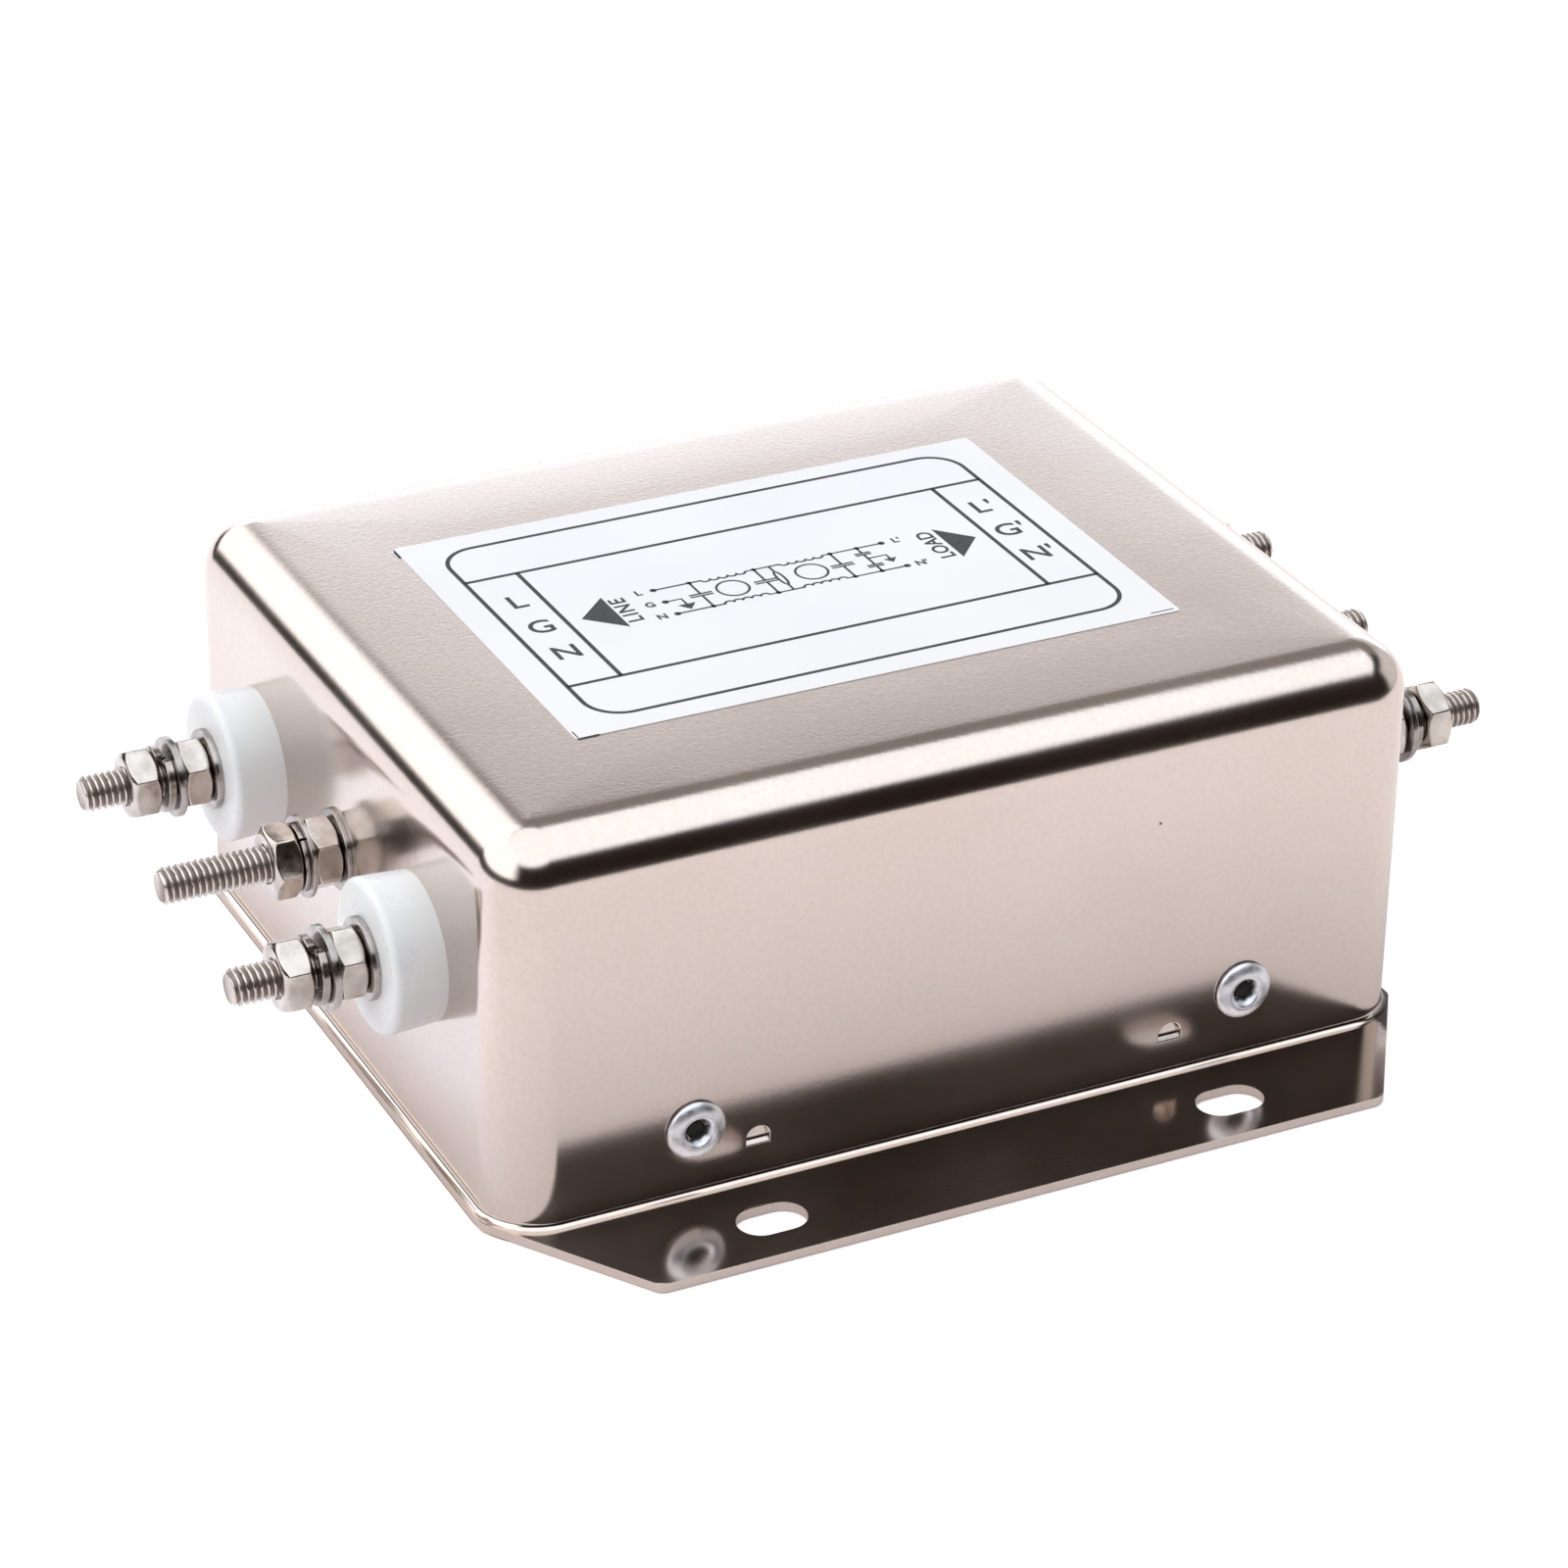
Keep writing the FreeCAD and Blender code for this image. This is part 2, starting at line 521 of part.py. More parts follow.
# Base cover: a plate under the stops with four riveted tabs
def make_cover():
    cover = new_body("base_cover")
    plate = new_sketch(cover, "cover_outline", "XY_Plane", COVER_BOTTOM)
    add_rounded_rectangle(plate, "0", "sizes.can_length - 2 * (sizes.sheet + sizes.cover_play)",
                          "sizes.can_width - 2 * (sizes.sheet + sizes.cover_play)",
                          "sizes.corner_radius - sizes.sheet - sizes.cover_play")
    add_feature(cover, "Pad", "cover_plate", plate, Length="sizes.cover_sheet")
    tabs = new_sketch(cover, "tab_outlines", "XY_Plane", COVER_BOTTOM)
    for side_x in ("-", ""):
        for side_y in ("-", "+"):
            add_rectangle(tabs, side_x + "sizes.rivet_spacing / 2",
                          "0 %s (%s - sizes.cover_sheet / 2)" % (side_y, INNER_LONG_WALL),
                          "sizes.tab_width", "sizes.cover_sheet")
    add_feature(cover, "Pad", "tabs", tabs, Length="sizes.tab_height - %s" % COVER_BOTTOM)
    tab_top = value_of["tab_height"]

    def tab_corner(edge):
        box = edge.BoundBox
        across_tab = box.XLength < NEAR and abs(box.YLength - value_of["cover_sheet"]) < NEAR
        return across_tab and is_level_at(edge, tab_top)

    round_edges(cover, "tab_corners", tab_corner, "sizes.tab_width / 4")
    holes = new_sketch(cover, "tab_hole_outlines", "XZ_Plane")
    for side in ("-", ""):
        add_circle(holes, side + "sizes.rivet_spacing / 2", "sizes.rivet_height",
                   "sizes.rivet_shank + sizes.rivet_play")
    cut_through(cover, "tab_holes", holes)
    return keep(cover)


def make_liner():
    liner = new_body("insulating_liner")
    outline = new_sketch(liner, "liner_outline", "XY_Plane", COVER_TOP)
    add_rectangle(outline, "0", "0", "sizes.can_length - 2 * (sizes.sheet + sizes.liner_margin)",
                  "sizes.can_width - 2 * (sizes.sheet + sizes.liner_margin)")
    add_feature(liner, "Pad", "liner_sheet", outline, Length="sizes.liner_thickness")
    return keep(liner)


# Blind rivets through the long walls and the tabs of the base cover; +Z outwards, 0 at the wall
def make_rivets():
    rivet = new_body("rivet_pattern")
    bore = "sizes.rivet_bore / 2"
    blind_end = "-%s - sizes.rivet_blind_length" % GRIP
    turn(rivet, "rivet", [
        (bore, blind_end), ("sizes.rivet_blind / 2", blind_end), ("sizes.rivet_blind / 2", "-" + GRIP),
        ("sizes.rivet_shank / 2", "-" + GRIP), ("sizes.rivet_shank / 2", "0"),
        ("sizes.rivet_head / 2", "0"), ("sizes.rivet_head / 2", "sizes.rivet_rim"),
        ("sizes.rivet_crown / 2", "sizes.rivet_head_height"),
        ("sizes.rivet_funnel / 2", "sizes.rivet_head_height"),
        (bore, "sizes.rivet_head_height / 3")])
    mandrel = new_body("mandrel_pattern")
    stem = "(sizes.rivet_bore - sizes.mandrel_play) / 2"
    head_seat = blind_end
    turn(mandrel, "mandrel", [
        ("0", "%s - sizes.mandrel_head_length" % head_seat),
        ("sizes.mandrel_head / 2", "%s - sizes.mandrel_head_length" % head_seat),
        ("sizes.mandrel_head / 2", head_seat), (stem, head_seat),
        (stem, "-sizes.mandrel_sunk"), ("0", "-sizes.mandrel_sunk")])
    for name, pattern in (("blind_rivets", rivet), ("rivet_mandrels", mandrel)):
        group(name, [(pattern, "%d * sizes.rivet_spacing / 2" % side_x, "%d * %s" % (side_y, LONG_WALL),
                      "sizes.rivet_height", facing_side(side_y))
                     for side_x in (-1, 1) for side_y in (-1, 1)])


# Terminals. Each has its place across the end wall, from the ground terminal in the middle.
TERMINALS = (("line", 1), ("ground", 0), ("neutral", -1))
ENDS = (("input", -1), ("output", 1))


def across(side_y):
    return "%d * sizes.terminal_spacing" % side_y


def make_bushings():
    """Insulating bushings: a tapered collar outside and a neck through the end wall."""
    for end, side_x in ENDS:
        for terminal, side_y in TERMINALS:
            if terminal == "ground":
                continue
            bushing = new_body("%s_%s_bushing" % (end, terminal))
            bore = "(sizes.stud_diameter + sizes.bushing_bore_play) / 2"
            neck_end = "-(sizes.sheet + sizes.bushing_neck_beyond)"
            turn(bushing, "bushing", [
                (bore, neck_end), ("sizes.bushing_neck / 2", neck_end), ("sizes.bushing_neck / 2", "0"),
                ("sizes.bushing_root / 2", "0"), ("sizes.bushing_front / 2", "sizes.bushing_length"),
                (bore, "sizes.bushing_length")])
            front = value_of["bushing_length"]
            rim = value_of["bushing_front"]
            round_edges(bushing, "bushing_front_edge",
                        lambda edge: is_level_at(edge, front) and edge.BoundBox.XLength > rim / 2,
                        "sizes.bushing_edge")
            place(bushing, "%d * %s" % (side_x, WALL), across(side_y), "sizes.terminal_height",
                  facing_end(side_x))
            keep(bushing)


def make_collars():
    """Insulating collars that close the bushings from inside the wall; +Z inwards, 0 at the wall."""
    collar = new_body("collar_pattern")
    bore = "(sizes.stud_diameter + sizes.bushing_bore_play) / 2"
    pocket = "(sizes.bushing_neck + sizes.bushing_play) / 2"
    floor = "(sizes.bushing_neck_beyond + sizes.bushing_play)"
    rim = "sizes.collar_diameter / 2"
    turn(collar, "collar", [
        (pocket, "0"), (rim, "0"), (rim, "sizes.collar_thickness"), (bore, "sizes.collar_thickness"),
        (bore, floor), (pocket, floor)])
    group("insulating_collars", [
        (collar, "%d * %s" % (side_x, INNER_WALL), across(side_y), "sizes.terminal_height",
         facing_end(-side_x))
        for _, side_x in ENDS for terminal, side_y in TERMINALS if terminal != "ground"])


def make_studs():
    """Terminal studs, each from behind its last nut inside to its tip."""
    for end, side_x in ENDS:
        for terminal, side_y in TERMINALS:
            stud = new_body("%s_%s_stud" % (end, terminal))
            seat, reach = (STRAP_SEAT, "sizes.stud_reach")
            if terminal == "ground":
                seat, reach = (GROUND_STRAP_SEAT, "sizes.ground_reach")
            inner_end = "(%s - sizes.strap_thickness - sizes.nut_thickness - sizes.stud_spare)" % seat
            outline = new_sketch(stud, "stud_section", "XY_Plane", inner_end)
            add_circle(outline, "0", "0", "sizes.stud_diameter")
            add_feature(stud, "Pad", "stud_rod", outline,
                        Length="%s + %s - %s" % (WALL, reach, inner_end))
            round_edges(stud, "stud_ends", lambda edge: isinstance(edge.Curve, Part.Circle),
                        "sizes.stud_chamfer", "Chamfer")
            place(stud, "0", across(side_y), "sizes.terminal_height", facing_end(side_x))
            keep(stud)


def make_nut_pattern(name, chamfered):
    """Hexagon nut, +Z outwards, 0 at its seat; the terminal nuts have both ends chamfered."""
    nut = new_body(name)
    add_feature(nut, "AdditivePrism", "nut_hexagon", Polygon=6,
                Circumradius="sizes.nut_flats / 2 / cos(30)", Height="sizes.nut_thickness")
    if chamfered:
        corner = "sizes.nut_flats / 2 / cos(30)"
        face = "sizes.nut_face / 2"
        beyond = "sizes.nut_flats"
        drop = "(%s - %s) * sizes.nut_chamfer_height / (%s - %s)" % (beyond, face, corner, face)
        thickness = "sizes.nut_thickness"
        turn(nut, "nut_lower_chamfer", [(face, "0"), (beyond, "0"), (beyond, drop)], "Groove")
        turn(nut, "nut_upper_chamfer",
             [(face, thickness), (beyond, thickness), (beyond, "%s - %s" % (thickness, drop))], "Groove")
    bore = new_sketch(nut, "nut_bore_outline", "XY_Plane")
    add_circle(bore, "0", "0", "sizes.stud_diameter + sizes.thread_play")
    cut_through(nut, "nut_bore", bore)
    return nut


def make_washer_pattern(name, thickness, diameter="sizes.washer_diameter"):
    washer = new_body(name)
    outline = new_sketch(washer, name + "_outline", "XY_Plane")
    add_circle(outline, "0", "0", diameter)
    add_circle(outline, "0", "0", "sizes.stud_diameter + sizes.washer_play")
    add_feature(washer, "Pad", name + "_disc", outline, Length=thickness)
    return washer


def make_spring_pattern():
    """Spring washer: one left-hand coil, cut, one end higher than the other."""
    spring = new_body("spring_washer_pattern")
    section = new_sketch(spring, "spring_section", "XZ_Plane")
    bore = "(sizes.stud_diameter + sizes.washer_play) / 2"
    rim = "sizes.spring_diameter / 2"
    add_outline(section, [(bore, "0"), (rim, "0"), (rim, "sizes.spring_thickness"),
                          (bore, "sizes.spring_thickness")])
    share = "(360 - sizes.spring_cut) / 360"
    add_feature(spring, "AdditiveHelix", "spring_coil", section, ReferenceAxis=(section, ["V_Axis"]),
                Mode=0, Pitch="sizes.spring_rise / (%s) * 1 mm" % share,
                Height="sizes.spring_rise * 1 mm", LeftHanded=True)
    return spring


def make_pressed_spring_pattern():
    """Spring washer of a ground terminal, pressed flat, with its cut closed to a gap."""
    washer = make_washer_pattern("pressed_spring_pattern", "sizes.pressed_spring_thickness",
                                 "sizes.spring_diameter")
    gap = new_sketch(washer, "pressed_spring_gap_outline", "XY_Plane")
    add_rectangle(gap, "sizes.spring_diameter / 2", "0", "sizes.spring_diameter",
                  "sizes.pressed_spring_gap")
    cut_through(washer, "pressed_spring_gap", gap)
    return washer


def make_fasteners():
    """Nuts and washers on the studs, stacked outwards from each end wall and inwards from it."""
    nut = make_nut_pattern("nut_pattern", True)
    plain_nut = make_nut_pattern("inside_nut_pattern", False)
    washer = make_washer_pattern("washer_pattern", "sizes.washer_thickness")
    thin = make_washer_pattern("thin_washer_pattern", "sizes.ground_washer_thickness")
    spring = make_spring_pattern()
    pressed = make_pressed_spring_pattern()
    copies = {"inner_hex_nuts": [], "outer_hex_nuts": [], "inside_hex_nuts": [], "flat_washers": [],
              "inside_washers": [], "spring_washers": []}

    def stack(side_x, side_y, seat, pieces, outwards):
        distance = seat
        step = "+" if outwards else "-"
        for node, pattern, thickness, roll in pieces:
            direction = side_x if outwards else -side_x
            copies[node].append((pattern, "%d * (%s)" % (side_x, distance), across(side_y),
                                 "sizes.terminal_height", facing_end(direction, roll)))
            distance = "%s %s %s" % (distance, step, thickness)

    thick = "sizes.nut_thickness"
    flat = "sizes.washer_thickness"
    fine = "sizes.ground_washer_thickness"
    for _, side_x in ENDS:
        for terminal, side_y in TERMINALS:
            first_turn, second_turn, inside_turn = NUT_TURNS[terminal]
            if terminal == "ground":
                stack(side_x, side_y, WALL, [
                    ("flat_washers", thin, fine, 0), ("inner_hex_nuts", nut, thick, first_turn),
                    ("flat_washers", thin, fine, 0),
                    ("spring_washers", pressed, "sizes.pressed_spring_thickness", SPRING_CUT_TURN),
                    ("outer_hex_nuts", nut, thick, second_turn)], True)
                stack(side_x, side_y, INNER_WALL, [
                    ("inside_hex_nuts", plain_nut, thick, inside_turn),
                    ("inside_washers", washer, flat, 0)], False)
                stack(side_x, side_y, "%s - sizes.strap_thickness" % GROUND_STRAP_SEAT, [
                    ("inside_hex_nuts", plain_nut, thick, inside_turn)], False)
                continue
            stack(side_x, side_y, LINE_SEAT, [
                ("flat_washers", washer, flat, 0), ("inner_hex_nuts", nut, thick, first_turn),
                ("flat_washers", washer, flat, 0),
                ("spring_washers", spring, "sizes.spring_thickness + sizes.spring_rise", SPRING_CUT_TURN),
                ("outer_hex_nuts", nut, thick, second_turn)], True)
            stack(side_x, side_y, "%s - sizes.collar_thickness" % INNER_WALL, [
                ("inside_washers", washer, flat, 0)], False)
            stack(side_x, side_y, "%s - sizes.strap_thickness" % STRAP_SEAT, [
                ("inside_hex_nuts", plain_nut, thick, inside_turn)], False)
    for node, places in copies.items():
        group(node, places)


# Terminal straps: flat strips from the studs down through the circuit board
def make_straps():
    for end, side_x in ENDS:
        for terminal, side_y in TERMINALS:
            strap = new_body("%s_%s_strap" % (end, terminal))
            outline = new_sketch(strap, "strap_outline", "YZ_Plane")
            half = "sizes.strap_width / 2"
            pin = "sizes.strap_pin_width / 2"
            top = "(sizes.terminal_height + sizes.strap_above)"
            tip = "(%s - sizes.pin_stick_out)" % BOARD_BOTTOM
            add_outline(outline, [
                ("-" + pin, tip), (pin, tip), (pin, BOARD_TOP), (half, BOARD_TOP), (half, top),
                ("-" + half, top), ("-" + half, BOARD_TOP), ("-" + pin, BOARD_TOP)])
            add_feature(strap, "Pad", "strap_strip", outline, Length="sizes.strap_thickness")
            hole = new_sketch(strap, "strap_hole_outline", "YZ_Plane")
            add_circle(hole, "0", "sizes.terminal_height", "sizes.stud_diameter + sizes.washer_play")
            cut_through(strap, "strap_hole", hole)
            seat = GROUND_STRAP_SEAT if terminal == "ground" else STRAP_SEAT
            start = "%s - sizes.strap_thickness" % seat if side_x > 0 else "-%s" % seat
            place(strap, start, across(side_y))
            keep(strap)


def lead_places():
    """Middle and diameter of each round hole that the circuit board has."""
    lead = "sizes.lead_diameter + sizes.board_play"
    places = []
    for number, side_x, side_y in X_CAPACITORS:
        for side in ("-", "+"):
            places.append(("%d * %s %s sizes.x_capacitor_pitch / 2" % (side_x, X_CAPACITOR_OFFSET, side),
                           "%d * %s" % (side_y, COMPONENT_ROW), lead))
    for side_x in (-1, 1):
        for side in ("-", "+"):
            places.append(("%d * %s %s sizes.y_capacitor_pitch / 2" % (side_x, Y_CAPACITOR_OFFSET, side),
                           COMPONENT_ROW, lead))
    for side in ("-", "+"):
        places.append(("0 %s sizes.resistor_pitch / 2" % side, "-" + RESISTOR_ROW, lead))
    wire = "sizes.wire_diameter + sizes.board_play"
    for choke_side in (-1, 1):
        for winding_side in (-1, 1):
            for sign in (-1, 1):
                x, y = winding_lead_place(winding_side, sign)
                places.append(("%d * sizes.choke_offset + %s" % (choke_side, x), y, wire))
    return places


def winding_lead_place(winding_side, sign):
    """Where a winding's lead goes down, from the middle of its choke."""
    radius = "(sizes.core_outer / 2 + sizes.wire_play + sizes.wire_diameter / 2)"
    angle = "(sizes.winding_angle / 2 - sizes.turn_angle / 2)"
    return ("%d * %s * sin(%s)" % (sign, radius, angle), "%d * %s * cos(%s)" % (winding_side, radius, angle))


def make_board():
    board = new_body("circuit_board")
    outline = new_sketch(board, "board_outline", "XY_Plane", BOARD_BOTTOM)
    add_rectangle(outline, "0", "0", "2 * " + HALF_BOARD_LENGTH, "2 * " + HALF_BOARD_WIDTH)
    add_feature(board, "Pad", "board_plate", outline, Length="sizes.board_thickness")
    holes = new_sketch(board, "board_hole_outlines", "XY_Plane")
    for x, y, diameter in lead_places():
        add_circle(holes, x, y, diameter)
    for _, side_x in ENDS:
        for terminal, side_y in TERMINALS:
            seat = GROUND_STRAP_SEAT if terminal == "ground" else STRAP_SEAT
            add_rectangle(holes, "%d * (%s - sizes.strap_thickness / 2)" % (side_x, seat), across(side_y),
                          "sizes.strap_thickness + sizes.board_play",
                          "sizes.strap_pin_width + sizes.board_play")
    cut_through(board, "board_holes", holes)
    return keep(board)


def make_spacers():
    spacer = new_body("spacer_pattern")
    outline = new_sketch(spacer, "spacer_outline", "XY_Plane")
    add_circle(outline, "0", "0", "sizes.spacer_diameter")
    add_feature(spacer, "Pad", "spacer_post", outline, Length="sizes.spacer_height")
    group("board_spacers", [
        (spacer, "%d * (%s - sizes.spacer_inset)" % (side_x, HALF_BOARD_LENGTH),
         "%d * (%s - sizes.spacer_inset)" % (side_y, HALF_BOARD_WIDTH), LINER_TOP, Rotation())
        for side_x in (-1, 1) for side_y in (-1, 1)])


# Current-compensated chokes: a coated ring core and two windings, each a row of turns round it
def make_choke(name, side_x):
    core = new_body(name + "_choke_core")
    inner = "sizes.core_inner / 2"
    outer = "sizes.core_outer / 2"
    half = "sizes.core_height / 2"
    turn(core, "core_ring", [(inner, "-" + half), (outer, "-" + half), (outer, half), (inner, half)])
    round_edges(core, "core_edges", lambda edge: isinstance(edge.Curve, Part.Circle),
                "sizes.core_chamfer", "Chamfer")
    place(core, "%d * sizes.choke_offset" % side_x, "0", CORE_MIDDLE)
    keep(core)
    for side_y, side_name in ((1, "line"), (-1, "neutral")):
        make_winding("%s_choke_%s_winding" % (name, side_name), side_x, side_y)


def winding_section(body, name, depth):
    """Sketch of the sleeve that a wire lays round the core, from wire_play out to depth."""
    section = new_sketch(body, name, "XZ_Plane")
    play = "sizes.wire_play"
    inner = "(sizes.core_inner / 2 - %s)"
    outer = "(sizes.core_outer / 2 + %s)"
    half = "(sizes.core_height / 2 + %s)"
    for reach in (depth, play):
        add_outline(section, [
            (inner % reach, "-" + half % reach), (outer % reach, "-" + half % reach),
            (outer % reach, half % reach), (inner % reach, half % reach)])
    return section


def make_winding(name, side_x, side_y):
    winding = new_body(name)
    full = "(sizes.wire_play + sizes.wire_diameter)"
    valley = "(sizes.wire_play + sizes.wire_diameter - sizes.winding_valley)"
    sleeve_section = winding_section(winding, "sleeve_section", valley)
    add_feature(winding, "Revolution", "sleeve", sleeve_section, ReferenceAxis=(sleeve_section, ["V_Axis"]),
                Angle="sizes.winding_angle - sizes.turn_angle")
    turn_section = winding_section(winding, "turn_section", full)
    one_turn = add_feature(winding, "Revolution", "first_turn", turn_section,
                           ReferenceAxis=(turn_section, ["V_Axis"]), Angle="sizes.turn_angle",
                           Midplane=True)
    z_axis = [feature for feature in winding.Origin.OriginFeatures if feature.Role == "Z_Axis"][0]
    turns = winding.newObject("PartDesign::PolarPattern", "turns")
    turns.Originals = [one_turn]
    turns.Axis = (z_axis, [""])
    turns.setExpression("Angle", "sizes.winding_angle - sizes.turn_angle")
    turns.setExpression("Occurrences", "sizes.winding_turns")
    winding.Tip = turns
    document.recompute()
    leads = new_sketch(winding, "lead_outlines", "XY_Plane",
                       "-(%s - %s + sizes.pin_stick_out)" % (CORE_MIDDLE, BOARD_BOTTOM))
    radius = "(sizes.core_outer / 2 + sizes.wire_play + sizes.wire_diameter / 2)"
    sweep = "(sizes.winding_angle - sizes.turn_angle)"
    add_circle(leads, radius, "0", "sizes.wire_stripped")
    add_circle(leads, "%s * cos(%s)" % (radius, sweep), "%s * sin(%s)" % (radius, sweep),
               "sizes.wire_stripped")
    add_feature(winding, "Pad", "leads", leads,
                Length="%s - %s + sizes.pin_stick_out" % (CORE_MIDDLE, BOARD_BOTTOM))
    half_sweep = (value_of["winding_angle"] - value_of["turn_angle"]) / 2
    place(winding, "%d * sizes.choke_offset" % side_x, "0", CORE_MIDDLE,
          Rotation(Vector(0, 0, 1), 90 * side_y - half_sweep))
    keep(winding)


def make_boxed_capacitor(name, x, y, size_name):
    """Film capacitor in a moulded case, with two leads through the circuit board."""
    capacitor = new_body(name)
    outline = new_sketch(capacitor, "case_outline", "XY_Plane", BOARD_TOP)
    add_rectangle(outline, x, y, "sizes.%s_length" % size_name, "sizes.%s_width" % size_name)
    add_feature(capacitor, "Pad", "case", outline, Length="sizes.%s_height" % size_name)
    round_edges(capacitor, "case_edges", is_upright, "sizes.case_rounding")
    leads = new_sketch(capacitor, "lead_outlines", "XY_Plane", BOARD_TOP)
    for side in ("-", "+"):
        add_circle(leads, "%s %s sizes.%s_pitch / 2" % (x, side, size_name), y, "sizes.lead_diameter")
    add_feature(capacitor, "Pad", "leads", leads,
                Length="sizes.board_thickness + sizes.pin_stick_out", Reversed=True)
    keep(capacitor)


def make_capacitors():
    for number, side_x, side_y in X_CAPACITORS:
        make_boxed_capacitor("line_to_neutral_capacitor_%d" % number,
                             "%d * %s" % (side_x, X_CAPACITOR_OFFSET),
                             "%d * %s" % (side_y, COMPONENT_ROW), "x_capacitor")
    for name, side_x in (("line_to_ground_capacitor", -1), ("neutral_to_ground_capacitor", 1)):
        make_boxed_capacitor(name, "%d * %s" % (side_x, Y_CAPACITOR_OFFSET), COMPONENT_ROW, "y_capacitor")


def make_resistor():
    """Bleed resistor, lying on the board beside the capacitors, with its leads bent down through it."""
    resistor = new_body("bleed_resistor")
    axis_height = "(%s + sizes.resistor_diameter / 2)" % BOARD_TOP
    row = "-" + RESISTOR_ROW
    tip = "(%s - sizes.pin_stick_out)" % BOARD_BOTTOM
    section = new_sketch(resistor, "resistor_section", "YZ_Plane")
    add_circle(section, row, axis_height, "sizes.resistor_diameter")
    add_feature(resistor, "Pad", "resistor_body", section, Length="sizes.resistor_length", Midplane=True)
    wire = new_sketch(resistor, "wire_section", "YZ_Plane")
    add_circle(wire, row, axis_height, "sizes.lead_diameter")
    add_feature(resistor, "Pad", "wire_run", wire, Length="sizes.resistor_pitch + sizes.lead_diameter",
                Midplane=True)
    legs = new_sketch(resistor, "leg_outlines", "XY_Plane", tip)
    for side in ("-", "+"):
        add_circle(legs, "0 %s sizes.resistor_pitch / 2" % side, row, "sizes.lead_diameter")
    add_feature(resistor, "Pad", "legs", legs, Length="%s - %s" % (axis_height, tip))
    keep(resistor)


def make_label():
    label = new_body("top_label")
    outline = new_sketch(label, "label_outline", "XY_Plane", "sizes.can_height")
    add_rounded_rectangle(outline, "sizes.label_shift", "sizes.label_length", "sizes.label_width",
                          "sizes.label_corner")
    add_feature(label, "Pad", "label_sheet", outline, Length="sizes.label_thickness")
    keep(label)


make_can()
make_cover()
make_liner()
make_rivets()
make_bushings()
make_collars()
make_studs()
make_fasteners()
make_straps()
make_board()
make_spacers()
make_choke("input", -1)
make_choke("output", 1)
make_capacitors()
make_resistor()
make_label()

document.recompute()
for item in document.Objects:
    if "Invalid" in item.State or "Error" in item.State:
        raise RuntimeError("%s is %s" % (item.Label, item.State))
for piece in nodes:
    if piece.Shape.isNull() or not piece.Shape.isValid():
        raise RuntimeError("%s has no valid shape" % piece.Label)

os.makedirs("parts", exist_ok=True)
for piece in nodes:
    piece.Shape.exportStep("parts/%s.step" % piece.Label)
    print("%-34s solids %2d  volume %9.1f" % (piece.Label, len(piece.Shape.Solids), piece.Shape.Volume))
print("%d nodes" % len(nodes))
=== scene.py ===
# %% [markdown]
# # A mains line filter, dressed for its picture
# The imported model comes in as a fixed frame: a drawn steel can with its terminals, and the chokes and
# capacitors inside. This lesson gives it the finish of the real thing. Sizes are written in millimetres,
# as on a workshop drawing, and turned into Blender's metres where a mesh is made.

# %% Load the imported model
import math
import bmesh
import bpy
from mathutils import Matrix, Vector


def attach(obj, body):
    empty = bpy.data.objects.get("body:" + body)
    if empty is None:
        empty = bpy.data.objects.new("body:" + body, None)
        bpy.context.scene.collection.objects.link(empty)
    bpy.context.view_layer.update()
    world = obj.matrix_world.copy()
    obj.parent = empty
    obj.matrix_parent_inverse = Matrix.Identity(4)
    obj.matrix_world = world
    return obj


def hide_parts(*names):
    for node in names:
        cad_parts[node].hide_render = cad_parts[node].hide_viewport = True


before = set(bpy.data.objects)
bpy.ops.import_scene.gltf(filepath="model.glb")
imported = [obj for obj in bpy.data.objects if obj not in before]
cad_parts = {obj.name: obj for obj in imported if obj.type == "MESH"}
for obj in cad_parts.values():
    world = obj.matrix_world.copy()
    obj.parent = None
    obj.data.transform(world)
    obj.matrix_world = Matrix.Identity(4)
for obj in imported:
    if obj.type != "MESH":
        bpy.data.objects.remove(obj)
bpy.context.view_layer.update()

MM = 0.001

# %% [markdown]
# ## Sizes of the real pieces
# Most repeat the drawing's values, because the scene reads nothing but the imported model. Rivets and
# stops stand a little off their even places, and the nuts have a larger chamfer and their own turns.

# %% Sizes in millimetres
CAN_LENGTH, CAN_WIDTH, CAN_HEIGHT = 102.8, 83.8, 43.9
SHEET = 1.2
CORNER_RADIUS, TOP_RADIUS, BEND_RADIUS = 6.0, 5.9, 0.75
FLANGE_REACH, FLANGE_SLANT_X, FLANGE_SLANT_Y, FLANGE_ROUNDING, END_LIP = 13.5, 10.7, 3.9, 1.6, 0.8
SLOT_X, SLOT_Y, SLOT_LENGTH, SLOT_WIDTH = 26.0, 49.4, 7.4, 4.9
RIVETS = {-1: (-30.8, 8.6), 1: (31.4, 9.05)}
STOP_X, STOP_Z = {-1: -23.9, 1: 23.0}, 5.0
TERMINAL_Z = 23.75
TERMINAL_Y = {"line": 21.65, "ground": 0.0, "neutral": -21.65}
WALL_X = CAN_LENGTH / 2
STUD_RADIUS, THREAD_PITCH, THREAD_DEPTH, STUD_CHAMFER = 1.95, 0.7, 0.42, 0.45
STUD_ENDS = {"line": (41.2, 71.3), "ground": (41.0, 70.6), "neutral": (41.2, 71.3)}
NUT_FLATS, NUT_THICKNESS, NUT_FACE, NUT_CHAMFER = 6.9, 3.2, 6.2, 0.60
NUT_TURNS = {"line": (58, 58), "ground": (66, 88), "neutral": (56, 58)}
WASHER_RADIUS, WASHER_BORE, WASHER_THICKNESS, THIN_WASHER = 4.3, 2.15, 0.8, 0.5
SPRING_RADIUS, SPRING_THICKNESS, SPRING_RISE, SPRING_CUT, SPRING_TURN = 3.6, 0.85, 0.75, 16.0, -35
